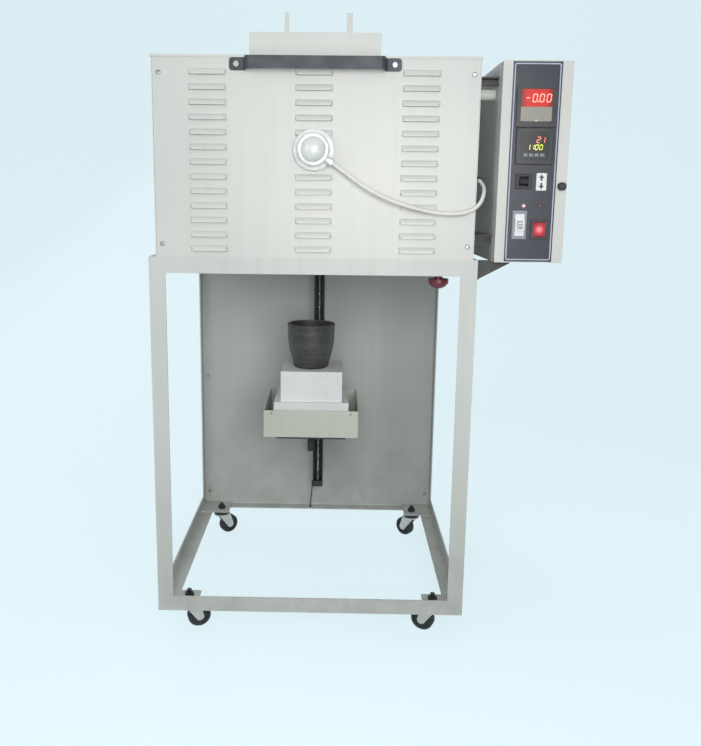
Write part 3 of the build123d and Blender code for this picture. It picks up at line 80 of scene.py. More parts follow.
class Value:
    """A shader socket. Arithmetic on it adds Math nodes."""

    def __init__(self, tree, socket):
        self.tree = tree
        self.socket = socket

    def math(self, operation, *terms):
        node = self.tree.nodes.new("ShaderNodeMath")
        node.operation = operation
        for slot, term in zip(node.inputs, terms):
            plug(self.tree, term, slot)
        return Value(self.tree, node.outputs[0])

    def __add__(self, other):
        return self.math("ADD", self, other)

    def __sub__(self, other):
        return self.math("SUBTRACT", self, other)

    def __rsub__(self, other):
        return self.math("SUBTRACT", other, self)

    def __mul__(self, other):
        return self.math("MULTIPLY", self, other)

    def __pow__(self, other):
        return self.math("POWER", self, other)

    def __gt__(self, other):
        return self.math("GREATER_THAN", self, other)

    def abs(self):
        return self.math("ABSOLUTE", self)

    def sine(self):
        return self.math("SINE", self)

    def least(self, other):
        return self.math("MINIMUM", self, other)

    def most(self, other):
        return self.math("MAXIMUM", self, other)

    def ramp(self, start, end):
        """0 up to start, 1 from end on, and a smooth step between them. start may be the larger."""
        node = self.tree.nodes.new("ShaderNodeMapRange")
        node.interpolation_type = "SMOOTHSTEP"
        low, high = sorted((start, end))
        for slot, term in zip(node.inputs, (self, low, high, float(start > end), float(start <= end))):
            plug(self.tree, term, slot)
        return Value(self.tree, node.outputs[0])


def plug(tree, term, slot):
    """Gives a node's input a value, or the output of another node."""
    if isinstance(term, Value):
        tree.links.new(term.socket, slot)
    else:
        slot.default_value = term


class Finish:
    """A material in the making: nodes are added by its methods, and set() plugs them into the shader."""

    def __init__(self, name, **fixed):
        self.material = bpy.data.materials.new(name)
        self.material.use_nodes = True
        self.tree = self.material.node_tree
        self.shader = self.tree.nodes["Principled BSDF"]
        self.set(**fixed)
        self.place = self.node("TexCoord", output="Object")

    def node(self, kind, settings=None, output=0, inputs=None):
        """Adds a shader node by its type, its settings and its inputs' values or links."""
        node = self.tree.nodes.new("ShaderNode" + kind)
        for key, value in (settings or {}).items():
            setattr(node, key, value)
        for key, term in (inputs or {}).items():
            plug(self.tree, term, node.inputs[key])
        return Value(self.tree, node.outputs[output])

    def set(self, **inputs):
        """Plugs terms into the shader: base_color stands for Base Color, and so on."""
        for key, term in inputs.items():
            name = key.replace("_", " ").title().replace("Ior", "IOR")
            if isinstance(term, tuple) and len(term) == 3:
                term = (*term, 1)
            plug(self.tree, term, self.shader.inputs[name])
        return self

    def axis(self, name):
        """One of the object's own coordinates, in metres."""
        return self.node("SeparateXYZ", output=name, inputs={"Vector": self.place})

    def stretched(self, x, y, z, turn=(0, 0, 0)):
        """The object's coordinates, scaled along each axis."""
        return self.node("Mapping", inputs={"Vector": self.place, "Scale": (x, y, z), "Rotation": turn})

    def noise(self, size, detail=3, roughness=0.5, place=None):
        """Noise with features of about this size in metres, from 0 to 1 round 0.5."""
        return self.node("TexNoise", inputs={"Vector": place or self.place, "Scale": 1 / size,
                                             "Detail": detail, "Roughness": roughness})

    def grains(self, size, feature="F1", output="Distance"):
        """Voronoi cells of about this size in metres."""
        return self.node("TexVoronoi", {"feature": feature}, output,
                         {"Vector": self.place, "Scale": 1 / size})

    def mix(self, share, first, second):
        """Colour mix: the first where share is 0, the second where it is 1."""
        node = self.tree.nodes.new("ShaderNodeMix")
        node.data_type = "RGBA"
        for slot, term in ((0, share), (6, first), (7, second)):
            if isinstance(term, tuple) and len(term) == 3:
                term = (*term, 1)
            plug(self.tree, term, node.inputs[slot])
        return Value(self.tree, node.outputs[2])

    def bump(self, *layers):
        """Bump layers, each a height and its depth in metres, on top of each other."""
        normal = None
        for height, depth in layers:
            inputs = {"Height": height, "Distance": depth, "Strength": 1.0}
            if normal:
                inputs["Normal"] = normal
            normal = self.node("Bump", inputs=inputs)
        return self.set(normal=normal)


# Finishes

def painted_sheet(name, colour, shade, roughness=0.42, grime_and_shade=0.5, shade_top=None):
    """Stoved enamel on sheet steel: fine orange peel, cloudy tone, small marks and dirt, and painted shade
    that darkens it towards the bottom below the given top height.
    """
    f = Finish(name, specular_ior_level=0.45)
    cloud = f.noise(0.35, 2).ramp(0.3, 0.7)
    streak = f.noise(1, 4, 0.6, f.stretched(55, 55, 3)).ramp(0.45, 0.75)
    speck = f.grains(0.013).ramp(0.09, 0.05) * f.noise(0.06, 2).ramp(0.55, 0.7)
    dirt_and_shade = streak * 0.14 * grime_and_shade + speck * 0.45 * grime_and_shade
    if shade_top is not None:
        # painted shade: darker towards the bottom, broken up by noise
        dirt_and_shade = dirt_and_shade + f.axis("Z").ramp(shade_top, 0.0) * f.noise(0.07, 5, 0.65).ramp(0.3, 0.8) * grime_and_shade * 0.6
    tone = f.mix(cloud, colour, shade)
    peel = f.noise(0.0022, 2)
    wave = f.noise(0.09, 1)
    # dirt and painted shade both pull the colour towards this dark tone
    f.set(base_color=f.mix(dirt_and_shade.least(0.8), tone, (0.33, 0.32, 0.27)),
          roughness=f.noise(0.02, 4) * 0.12 + (roughness - 0.06))
    f.bump((wave, 0.0006), (peel, 0.00004))
    return f.material


def black_enamel(name, colour, worn, roughness=0.45):
    """Thick black paint on steel, dusty, with brush and handling marks."""
    f = Finish(name, specular_ior_level=0.5)
    dust = f.noise(0.05, 6, 0.7).ramp(0.45, 0.8)
    rub = f.noise(1, 3, 0.6, f.stretched(260, 260, 14)).ramp(0.58, 0.75)
    f.set(base_color=f.mix(dust * 0.5 + rub * 0.35, colour, worn),
          roughness=f.noise(0.012, 3) * 0.25 + (roughness - 0.1) + dust * 0.12)
    f.bump((f.noise(0.0016, 3), 0.00005), (f.noise(0.02, 2), 0.0002))
    return f.material


def wrinkle_coat(name, colour, light):
    """Textured powder coat with polished high spots."""
    f = Finish(name, specular_ior_level=0.5)
    grain = f.grains(0.0011, "SMOOTH_F1")
    hand = f.noise(0.05, 3).ramp(0.4, 0.7)
    f.set(base_color=f.mix(hand * 0.5, colour, light), roughness=0.5 - hand * 0.12 + grain * 0.1)
    f.bump((grain, 0.00012), (f.noise(0.006, 2), 0.00015))
    return f.material


def zinc_plate(name, colour=(0.56, 0.57, 0.57), tint=(0.50, 0.47, 0.38), roughness=0.34):
    """Bright zinc plating with cloudy passivation and fine scratches."""
    f = Finish(name, metallic=0.9)
    cloud = f.noise(0.012, 4, 0.6).ramp(0.35, 0.7)
    scratch = f.noise(1, 2, 0.5, f.stretched(1600, 90, 1600))
    f.set(base_color=f.mix(cloud * 0.6, colour, tint), roughness=cloud * 0.16 + roughness)
    f.bump((scratch, 0.00002), (f.noise(0.003, 2), 0.00003))
    return f.material


def threaded_steel(name, pitch):
    """Oiled steel with machining marks across it and patches of black grease."""
    f = Finish(name, metallic=0.85)
    film = f.noise(0.018, 4, 0.6).ramp(0.35, 0.7)
    f.set(base_color=f.mix(film, (0.42, 0.43, 0.44), (0.17, 0.16, 0.14)), roughness=film * 0.2 + 0.24)
    lines = (f.axis("Z") * (2 * pi / pitch)).sine()
    f.bump((lines, pitch * 0.12), (f.noise(0.0008, 2), 0.00001))
    return f.material


def brushed_alloy(name, colour):
    """Aluminium with a drawn grain along X and a few handling marks."""
    f = Finish(name, metallic=0.75)
    grain = f.noise(1, 3, 0.55, f.stretched(40, 1300, 1300))
    mark = f.noise(0.02, 5, 0.65).ramp(0.5, 0.75)
    f.set(base_color=f.mix(mark * 0.4, colour, tuple(0.72 * c for c in colour)), roughness=grain * 0.2 + 0.38)
    f.bump((grain, 0.00002))
    return f.material


def silvered_casting(name):
    """Aluminium casting with silver paint: fine sand texture, slightly dull."""
    f = Finish(name, metallic=0.15, specular_ior_level=0.5)
    sand = f.noise(0.0016, 4, 0.6)
    cloud = f.noise(0.018, 3).ramp(0.35, 0.7)
    f.set(base_color=f.mix(cloud, (0.74, 0.76, 0.75), (0.64, 0.67, 0.66)), roughness=cloud * 0.14 + 0.36)
    f.bump((sand, 0.00009), (f.noise(0.012, 2), 0.0003))
    return f.material


def fibre_board(name, colour, shade, scorch=None):
    """Vacuum-formed fibre board: soft, felted surface with fine pits painted darker as shade, and faint
    fibres.
    """
    f = Finish(name, specular_ior_level=0.2)
    felt = f.noise(0.0012, 5, 0.7)
    fibre = f.noise(1, 3, 0.7, f.stretched(900, 260, 500, (0.4, 0.7, 0.2)))
    pit = f.grains(0.0045).ramp(0.16, 0.05) * f.noise(0.02, 2).ramp(0.5, 0.65)
    cloud = f.noise(0.05, 4).ramp(0.3, 0.75)
    tone = f.mix(cloud, colour, shade)
    if scorch is not None:
        tone = f.mix(f.noise(0.03, 5, 0.6).ramp(0.5, 0.8) * 0.3, tone, scorch)
    # painted shade: the pits are darker in colour
    f.set(base_color=f.mix(pit * 0.5 + fibre.ramp(0.55, 0.8) * 0.06, tone, (0.55, 0.54, 0.50)),
          roughness=felt * 0.1 + 0.82)
    f.bump((1 - pit, 0.0005), (felt, 0.0002), (fibre, 0.00008))
    return f.material


def fired_clay_graphite(name, rim_height):
    """Clay graphite of the crucible: dark, faint throwing rings, burnished belly, worn pale rim."""
    f = Finish(name, specular_ior_level=0.5)
    rings = (f.axis("Z") * (2 * pi / 0.0042) + f.noise(0.03, 2) * 5).sine() * 0.5 + 0.5
    grain = f.noise(0.0012, 4, 0.6)
    burn = f.noise(1, 3, 0.55, f.stretched(22, 22, 90)).ramp(0.4, 0.7)
    rim = f.axis("Z").ramp(rim_height - 0.003, rim_height - 0.0005) * f.noise(0.008, 4).ramp(0.35, 0.6)
    ash = f.noise(0.035, 5, 0.65).ramp(0.55, 0.8)
    tone = f.mix(burn, (0.036, 0.036, 0.034), (0.058, 0.057, 0.054))
    tone = f.mix(ash * 0.35, tone, (0.12, 0.115, 0.105))
    f.set(base_color=f.mix(rim * 0.5, tone, (0.17, 0.165, 0.155)),
          roughness=grain * 0.16 + 0.44 - burn * 0.08)
    f.bump((rings, 0.00012), (grain, 0.0001), (f.noise(0.015, 2), 0.0005))
    return f.material


def carbide(name):
    """Silicon carbide: dark grains with small glints."""
    f = Finish(name, specular_ior_level=0.6)
    grain = f.grains(0.0011, output="Color")
    tone = f.node("SeparateColor", output="Red", inputs={"Color": grain})
    f.set(base_color=f.mix(tone, (0.045, 0.046, 0.05), (0.17, 0.17, 0.18)), roughness=tone * 0.35 + 0.35)
    f.bump((f.grains(0.0011), 0.00025))
    return f.material


def glazed_tube(name):
    """Fired alumina of the sheath, with a warm tip."""
    f = Finish(name, specular_ior_level=0.5)
    warm = f.axis("Y").ramp(-0.16, -0.08)
    f.set(base_color=f.mix(warm * 0.6 + f.noise(0.02, 3) * 0.2, (0.80, 0.78, 0.72), (0.62, 0.54, 0.42)),
          roughness=f.noise(0.004, 3) * 0.2 + 0.35)
    f.bump((f.noise(0.002, 2), 0.00004))
    return f.material


def soft_rubber(name, colour):
    """Rubber with a matt skin, moulding grain and dust."""
    f = Finish(name, specular_ior_level=0.35)
    powder = f.noise(0.012, 6, 0.7).ramp(0.45, 0.8)
    f.set(base_color=f.mix(powder * 0.5, colour, (0.16, 0.16, 0.15)), roughness=powder * 0.15 + 0.68)
    f.bump((f.noise(0.0009, 3), 0.00006), (f.noise(0.01, 2), 0.0001))
    return f.material


def moulded_plastic(name, colour, roughness=0.42, grain=0.00004, dust=0.25):
    """Moulded plastic with a fine spark texture, and a little dust in its grain."""
    f = Finish(name, specular_ior_level=0.5)
    powder = f.noise(0.01, 5, 0.7).ramp(0.5, 0.85)
    paler = tuple(min(1.0, 0.75 * c + 0.16) for c in colour)
    f.set(base_color=f.mix(powder * dust, colour, paler), roughness=f.noise(0.004, 3) * 0.14 + roughness)
    f.bump((f.noise(0.0007, 2), grain))
    return f.material


def lit_plastic(name, edge, heart, centre, reach, power):
    """Translucent plastic over a lamp: brightest at its middle, fading to the edge."""
    f = Finish(name, roughness=0.22, specular_ior_level=0.5)
    away = f.node("VectorMath", {"operation": "DISTANCE"}, "Value",
                  {0: f.node("VectorMath", {"operation": "MULTIPLY"}, "Vector", {0: f.place, 1: (1, 0, 1)}),
                   1: (centre[0], 0, centre[2])})
    glow = away.ramp(reach, 0.0)
    colour = f.mix(glow ** 2.2, edge, heart)
    f.set(base_color=f.mix(f.noise(0.003, 2) * 0.2, edge, tuple(0.6 * c for c in edge)),
          emission_color=f.mix(glow, (0.0, 0.0, 0.0), colour), emission_strength=power)
    f.bump((f.noise(0.002, 2), 0.00003))
    return f.material


def printed_film(name, colour, shade):
    """Printed overlay film: satin, slightly uneven ink, small scuffs."""
    f = Finish(name, specular_ior_level=0.4)
    ink = f.noise(0.03, 4).ramp(0.3, 0.75)
    scuff = f.noise(1, 3, 0.6, f.stretched(60, 1, 420, (0, 0.6, 0))).ramp(0.62, 0.78)
    f.set(base_color=f.mix(ink, colour, shade), roughness=scuff * 0.14 + 0.36)
    f.bump((f.noise(0.0011, 2), 0.00002), (f.noise(0.02, 1), 0.00012))
    return f.material


def sleeving(name):
    """Braided white glass sleeving on the cable."""
    f = Finish(name, specular_ior_level=0.3)
    weave = f.grains(0.0012, "SMOOTH_F1")
    soil = f.noise(0.02, 5, 0.65).ramp(0.45, 0.8)
    f.set(base_color=f.mix(soil * 0.35, (0.74, 0.73, 0.70), (0.50, 0.48, 0.43)), roughness=weave * 0.2 + 0.58)
    f.bump((weave, 0.00035))
    return f.material


def breaker_moulding(name, centre, half_width, half_height):
    """Pale breaker in a grey surround."""
    f = Finish(name, roughness=0.36, specular_ior_level=0.5)
    across = (f.axis("X") - centre.x).abs() > half_width
    along = (f.axis("Z") - centre.z).abs() > half_height
    f.set(base_color=f.mix(across.most(along), (0.68, 0.70, 0.72), (0.22, 0.24, 0.28)))
    f.bump((f.noise(0.0008, 2), 0.00003))
    return f.material


def smoked_window(name, centre, split):
    """Meter window: red glow behind the figures, dull grey below."""
    f = Finish(name, roughness=0.16, specular_ior_level=0.5)
    above = f.axis("Z") > split
    side = (f.axis("X") - centre.x).abs().ramp(0.031, 0.016)
    f.set(base_color=f.mix(above, (0.30, 0.29, 0.25), (0.20, 0.012, 0.010)),
          emission_color=f.mix(above * side, (0.02, 0.02, 0.02), (0.50, 0.035, 0.028)), emission_strength=1)
    f.bump((f.noise(0.004, 2), 0.00002))
    return f.material


def lit_segments(name, colour, power):
    """Light of a display's segments, a little uneven."""
    f = Finish(name, roughness=0.3)
    even = f.noise(0.003, 2).ramp(0.3, 0.7)
    f.set(base_color=colour, emission_color=f.mix(even, tuple(0.85 * c for c in colour), colour),
          emission_strength=power)
    return f.material


def set_backdrop_material():
    """Pale studio paper that the camera and shiny pieces see as a plain pale ground with a soft shadow."""
    material = bpy.data.materials.new("studio_paper")
    material.use_nodes = True
    tree = material.node_tree
    tree.nodes.remove(tree.nodes["Principled BSDF"])
    diffuse = tree.nodes.new("ShaderNodeBsdfDiffuse")
    diffuse.inputs["Color"].default_value = (0.76, 0.83, 0.86, 1)
    glow = tree.nodes.new("ShaderNodeEmission")
    glow.inputs["Color"].default_value = (0.78, 0.94, 0.99, 1)
    ray = tree.nodes.new("ShaderNodeLightPath")
    seen = Value(tree, ray.outputs["Is Camera Ray"]).most(Value(tree, ray.outputs["Is Glossy Ray"]))
    seen = seen.most(Value(tree, ray.outputs["Is Transmission Ray"]))
    plug(tree, seen * 1.12, glow.inputs["Strength"])
    mix = tree.nodes.new("ShaderNodeMixShader")
    mix.inputs[0].default_value = 0.72
    tree.links.new(diffuse.outputs[0], mix.inputs[1])
    tree.links.new(glow.outputs[0], mix.inputs[2])
    plug(tree, Value(tree, mix.outputs[0]), tree.nodes["Material Output"].inputs["Surface"])
    return material


# Making pieces

def mesh_piece(name, bm, finish, body, smooth=False):
    """Turns a bmesh into a piece with its finish, and lets it ride on its body."""
    bmesh.ops.recalc_face_normals(bm, faces=bm.faces)
    mesh = bpy.data.meshes.new(name)
    bm.to_mesh(mesh)
    bm.free()
    piece = bpy.data.objects.new(name, mesh)
    bpy.context.scene.collection.objects.link(piece)
    mesh.materials.append(finish)
    if smooth:
        mesh.shade_smooth()
    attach(piece, body)
    return piece


def raise_faces(bm, faces, height):
    """Extrudes faces toward the front."""
    made = bmesh.ops.extrude_face_region(bm, geom=faces)["geom"]
    bmesh.ops.translate(bm, verts=[v for v in made if isinstance(v, bmesh.types.BMVert)], vec=(0, -height, 0))


def add_block(bm, low, high, bevel):
    """Adds a box between two corners, its edges rounded by bevel."""
    low, high = Vector(low), Vector(high)
    place = Matrix.Translation((low + high) / 2) @ Matrix.Diagonal((*(high - low), 1))
    made = bmesh.ops.create_cube(bm, size=1, matrix=place)
    edges = {edge for vert in made["verts"] for edge in vert.link_edges}
    bmesh.ops.bevel(bm, geom=list(edges), offset=bevel, segments=2, profile=0.5, affect="EDGES", material=-1)


def add_rod(bm, start, end, radius, segments):
    """Adds a closed cylinder between two points."""
    start, end = Vector(start), Vector(end)
    run = end - start
    turn = Vector((0, 0, 1)).rotation_difference(run).to_matrix().to_4x4()
    bmesh.ops.create_cone(bm, cap_ends=True, segments=segments, radius1=radius, radius2=radius,
                          depth=run.length, matrix=Matrix.Translation((start + end) / 2) @ turn)


def add_plate(bm, centre, width, height, y, thickness, corner):
    """Adds a plate that faces the front, with rounded corners."""
    x, z = centre
    verts = [bm.verts.new((x + sx * width / 2, y, z + sz * height / 2))
             for sx, sz in ((-1, -1), (1, -1), (1, 1), (-1, 1))]
    bm.faces.new(verts)
    made = bmesh.ops.bevel(bm, geom=verts, offset=corner, segments=4, profile=0.5, affect="VERTICES",
                           material=-1)
    face = max((f for v in made["verts"] for f in v.link_faces), key=lambda f: f.calc_area())
    raise_faces(bm, [face], thickness)


def add_frame(bm, centre, width, height, line, y, thickness, corner):
    """Adds a flat border that faces the front: two rounded rectangles with the strip between them filled."""
    steps = 6
    loops = []
    for depth in (0, -thickness):
        for inset in (0, line):
            radius, loop = corner - inset, []
            for quarter, (sx, sz) in enumerate(((1, 1), (-1, 1), (-1, -1), (1, -1))):
                x = centre[0] + sx * (width / 2 - corner)
                z = centre[1] + sz * (height / 2 - corner)
                for step in range(steps + 1):
                    angle = radians(90 * (quarter + step / steps))
                    loop.append(bm.verts.new((x + radius * cos(angle), y + depth, z + radius * sin(angle))))
            loops.append(loop)
    for one, other in ((0, 1), (1, 3), (3, 2), (2, 0)):
        for k in range(len(loops[0])):
            bm.faces.new((loops[one][k - 1], loops[one][k], loops[other][k], loops[other][k - 1]))


# The seven bars of a figure, each from one end to the other in half widths and half heights
bar_ends = {"a": ((-1, 1), (1, 1)), "b": ((1, 1), (1, 0)), "c": ((1, 0), (1, -1)), "d": ((-1, -1), (1, -1)),
            "e": ((-1, 0), (-1, -1)), "f": ((-1, 1), (-1, 0)), "g": ((-1, 0), (1, 0))}
bars_of = {"0": "abcdef", "1": "bc", "2": "abged", "-": "g"}
slant = 0.12
ink_height = 0.1 * MM


def add_figure(bm, sign, centre, height, y, dot=False):
    """Adds one seven-segment figure that faces the front, as thin bars with pointed ends."""
    half_w, half_h, bar = height * 0.25, height * 0.5 * 0.94, height * 0.115
    for name in bars_of[sign]:
        (x0, z0), (x1, z1) = bar_ends[name]
        start, end = Vector((x0 * half_w, z0 * half_h)), Vector((x1 * half_w, z1 * half_h))
        along = (end - start).normalized()
        start, end = start + along * bar * 0.12, end - along * bar * 0.12
        across = Vector((-along.y, along.x)) * bar / 2
        inner = along * bar / 2
        outline = (start, start + inner + across, end - inner + across, end, end - inner - across,
                   start + inner - across)
        verts = [bm.verts.new((centre[0] + p.x + slant * p.y, y, centre[1] + p.y)) for p in outline]
        raise_faces(bm, [bm.faces.new(verts)], ink_height)
    if dot:
        x, z = centre[0] + half_w * 1.65, centre[1] - half_h
        add_rod(bm, (x, y, z), (x, y - ink_height, z), bar * 0.6, 12)


def middle(node):
    """Middle of a CAD node's box."""
    low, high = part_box(node)
    return (low + high) / 2


def dress(finish, *names):
    """Gives CAD nodes their finish."""
    for name in names:
        slots = nodes[name].data.materials
        slots.clear()
        slots.append(finish)


# Studio

def set_studio():
    """Backdrop, world and soft lamps."""
    bm = bmesh.new()
    far, near, side, rise, bend = 3.2, -4.5, 7.0, 6.0, 1.6
    steps = 12
    angles = [k / steps * pi / 2 for k in range(steps + 1)]
    points = [(near, 0), *((far - bend + bend * sin(a), bend - bend * cos(a)) for a in angles), (far, rise)]
    line = [bm.verts.new((-side, y, z)) for y, z in points]
    edges = [bm.edges.new(pair) for pair in zip(line, line[1:])]
    swept = bmesh.ops.extrude_edge_only(bm, edges=edges)
    bmesh.ops.translate(bm, verts=[v for v in swept["geom"] if isinstance(v, bmesh.types.BMVert)],
                        vec=(2 * side, 0, 0))
    bmesh.ops.recalc_face_normals(bm, faces=bm.faces)
    mesh = bpy.data.meshes.new("studio_paper")
    bm.to_mesh(mesh)
    bm.free()
    mesh.shade_smooth()
    mesh.materials.append(set_backdrop_material())
    paper = bpy.data.objects.new("studio_paper", mesh)
    bpy.context.scene.collection.objects.link(paper)

    world = bpy.data.worlds.new("studio")
    world.use_nodes = True
    background = world.node_tree.nodes["Background"]
    background.inputs["Color"].default_value = (0.86, 0.93, 0.97, 1)
    background.inputs["Strength"].default_value = 0.42
    bpy.context.scene.world = world

    lamps = {
        "key": ((0.15, -1.9, 1.05), (0.05, -0.28, 0.9), 0.8, 20.5, (1.0, 0.99, 0.97)),
        "fill": ((-1.9, -1.9, 1.5), (0.0, 0.0, 0.8), 1.6, 12, (0.97, 0.99, 1.0)),
        "top": ((0.0, 0.1, 3.1), (0.0, 0.0, 0.8), 2.2, 13, (1.0, 1.0, 1.0)),
        "rear": ((-1.8, 2.3, 1.9), (0.0, 0.0, 0.8), 1.6, 18, (0.97, 0.99, 1.0)),
    }
    for name, (place, target, size, power, colour) in lamps.items():
        data = bpy.data.lights.new(name, "AREA")
        data.size, data.energy, data.color = size, power, colour
        lamp = bpy.data.objects.new(name, data)
        lamp.location = place
        lamp.rotation_euler = (Vector(target) - Vector(place)).to_track_quat("-Z", "Y").to_euler()
        bpy.context.scene.collection.objects.link(lamp)
    bpy.context.scene.view_settings.view_transform = "Standard"


# The cable of the thermocouple, on the path of the CAD tube

cable_diameter = 7.5 * MM
cable_route = [
    (-0.0423, -0.3030, 0.98934), (-0.02264, -0.3030, 0.97557), (0.0135, -0.30775, 0.949),
    (0.0555, -0.31075, 0.926), (0.1035, -0.30875, 0.910), (0.1515, -0.30375, 0.899),
    (0.1945, -0.30075, 0.897), (0.2225, -0.29675, 0.903), (0.2415, -0.28775, 0.917),
    (0.2500, -0.27275, 0.937), (0.25129, -0.25685, 0.95296), (0.24329, -0.24665, 0.96205)]


def thermocouple_lead():
    """White sleeved cable from the thermocouple's gland round the body's edge to the boot."""
    data = bpy.data.curves.new("thermocouple_lead", "CURVE")
    data.dimensions = "3D"
    data.bevel_depth = cable_diameter / 2
    data.bevel_resolution = 6
    data.resolution_u = 16
    data.use_fill_caps = True
    spline = data.splines.new("NURBS")
    spline.points.add(len(cable_route) - 1)
    for point, place in zip(spline.points, cable_route):
        point.co = (*place, 1)
    spline.order_u = 3
    spline.use_endpoint_u = True
    lead = bpy.data.objects.new("thermocouple_lead", data)
    bpy.context.scene.collection.objects.link(lead)
    data.materials.append(sleeving("glass_sleeving"))
    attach(lead, "frame")
    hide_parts("thermocouple_cable")


def threaded_screw(pitch, core, crest):
    """Lead screw with its two-start thread: two ridges wound round a core."""
    low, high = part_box("lead_screw")
    x, y = (low.x + high.x) / 2, (low.y + high.y) / 2
    bm = bmesh.new()
    steps = 14
    lead = 2 * pitch
    turns = int((high.z - low.z) / lead) - 1
    corners = ((core - 0.2 * MM, -0.42), (crest, -0.16), (crest, 0.16), (core - 0.2 * MM, 0.42))
    for start in (low.z + pitch, low.z + lead):
        ridge = bm.faces.new([bm.verts.new((x + radius, y, start + share * pitch))
                              for radius, share in corners])
        bmesh.ops.spin(bm, geom=[ridge, *ridge.edges, *ridge.verts], cent=(x, y, 0), axis=(0, 0, 1),
                       dvec=(0, 0, lead / steps), angle=2 * pi * turns, steps=steps * turns)
    bmesh.ops.remove_doubles(bm, verts=bm.verts, dist=0.00001)
    add_rod(bm, (x, y, low.z), (x, y, high.z), core, 28)
    screw = mesh_piece("threaded_screw", bm, threaded_steel("oiled_thread", pitch), "screw")
    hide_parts("lead_screw")


# Prints and displays of the control panel: sizes, and places from the middle of the unit they are on

border_size, border_line, border_corner, border_height = (85 * MM, 358 * MM), 2 * MM, 4 * MM, 0.4 * MM
meter_glass, meter_glass_drop, meter_glass_rise = 57 * MM, 2 * MM, 2.5 * MM
meter_screw_drop = 24.5 * MM
controller_glass, controller_glass_drop = (55 * MM, 51 * MM), 1.5 * MM
key_pitch, key_half_size, key_drop, key_height = 10.4 * MM, (4 * MM, 3 * MM), 16 * MM, 1.2 * MM
arrow_plate_size, arrow_plate_height, arrow_plate_gap = (19 * MM, 32 * MM), 0.5 * MM, 9.2 * MM


def add_figures(unit, face, rise, height, figures):
    """A row of figures. Each is its sign, its place across in mm, and whether a point follows it."""
    bm = bmesh.new()
    for sign, across, dot in figures:
        add_figure(bm, sign, (unit.x + across * MM, unit.z + rise), height, face, dot)
    return bm


def dress_panel():
    """Displays, keys, arrows and the border line on the control panel."""
    low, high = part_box("panel_fascia")
    centre, face = (low + high) / 2, low.y
    bm = bmesh.new()
    add_frame(bm, (centre.x, centre.z), *border_size, border_line, face, border_height, border_corner)
    border_ink = printed_film("border_ink", (0.46, 0.49, 0.62), (0.40, 0.43, 0.56))
    mesh_piece("fascia_border", bm, border_ink, "door")

    meter, window = middle("current_meter"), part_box("current_meter")[0].y + meter_glass_drop
    thickness = 0.6 * MM
    bm = bmesh.new()
    add_plate(bm, (meter.x, meter.z + meter_glass_rise), meter_glass, meter_glass, window, thickness, 2 * MM)
    glass = smoked_window("red_window", meter, meter.z - 0.5 * MM)
    mesh_piece("meter_window", bm, glass, "door")
    figures = (("-", -16.1, False), ("0", -3.4, True), ("0", 9.3, False), ("0", 22.0, False))
    bm = add_figures(meter, window - thickness, 15.2 * MM, 14.2 * MM, figures)
    mesh_piece("meter_figures", bm, lit_segments("red_segments", (1.0, 0.33, 0.27), 1.15), "door")
    bm = bmesh.new()
    place = Vector((meter.x, window, meter.z - meter_screw_drop))
    add_rod(bm, place, place - Vector((0, 1.2 * MM, 0)), 1.5 * MM, 20)
    mesh_piece("meter_screw", bm, bright_zinc, "door")

    unit = middle("temperature_controller")
    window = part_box("temperature_controller")[0].y + controller_glass_drop
    thickness = 0.5 * MM
    bm = bmesh.new()
    add_plate(bm, (unit.x, unit.z), *controller_glass, window, thickness, 2 * MM)
    face_film = moulded_plastic("face_film", (0.010, 0.011, 0.013), 0.22, 0.00001, 0.1)
    mesh_piece("controller_face", bm, face_film, "door")
    figures = (("2", 7.5, False), ("1", 16.0, False))
    bm = add_figures(unit, window - thickness, 11.4 * MM, 11 * MM, figures)
    mesh_piece("measured_figures", bm, lit_segments("measured_segments", (1.0, 0.20, 0.14), 1.1), "door")
    figures = (("1", -10.5, False), ("1", -3.0, False), ("0", 4.5, False), ("0", 12.5, False))
    bm = add_figures(unit, window - thickness, -1.9 * MM, 9.5 * MM, figures)
    mesh_piece("wanted_figures", bm, lit_segments("wanted_segments", (0.78, 0.85, 0.10), 1.0), "door")
    bm = bmesh.new()
    half_w, half_h = key_half_size
    for place in (-1.5, -0.5, 0.5, 1.5):
        x, z = unit.x + place * key_pitch, unit.z - key_drop
        add_block(bm, (x - half_w, window - key_height, z - half_h), (x + half_w, window, z + half_h),
                  0.5 * MM)
    mesh_piece("controller_keys", bm, moulded_plastic("key_moulding", (0.20, 0.22, 0.26), 0.4), "door",
               True)

    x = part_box("lift_switch")[1].x + arrow_plate_gap + arrow_plate_size[0] / 2
    middle_z = middle("lift_switch").z - 0.5 * MM
    bm = bmesh.new()
    add_plate(bm, (x, middle_z), *arrow_plate_size, face, arrow_plate_height, 1 * MM)
    mesh_piece("arrow_plate", bm, moulded_plastic("arrow_film", (0.72, 0.74, 0.76), 0.35), "door")
    bm = bmesh.new()
    for way in (1, -1):
        tip, neck, tail = (middle_z + way * share * MM for share in (13.5, 7.0, 2.0))
        outline = ((-5, neck), (0, tip), (5, neck), (1.8, neck), (1.8, tail), (-1.8, tail), (-1.8, neck))
        verts = [bm.verts.new((x + across * MM, face - arrow_plate_height, z)) for across, z in outline]
        raise_faces(bm, [bm.faces.new(verts)], ink_height)
    arrow_ink = printed_film("arrow_ink", (0.03, 0.03, 0.04), (0.05, 0.05, 0.06))
    mesh_piece("arrow_marks", bm, arrow_ink, "door")


set_camera()
set_studio()
thermocouple_lead()


# Finishes of the CAD nodes

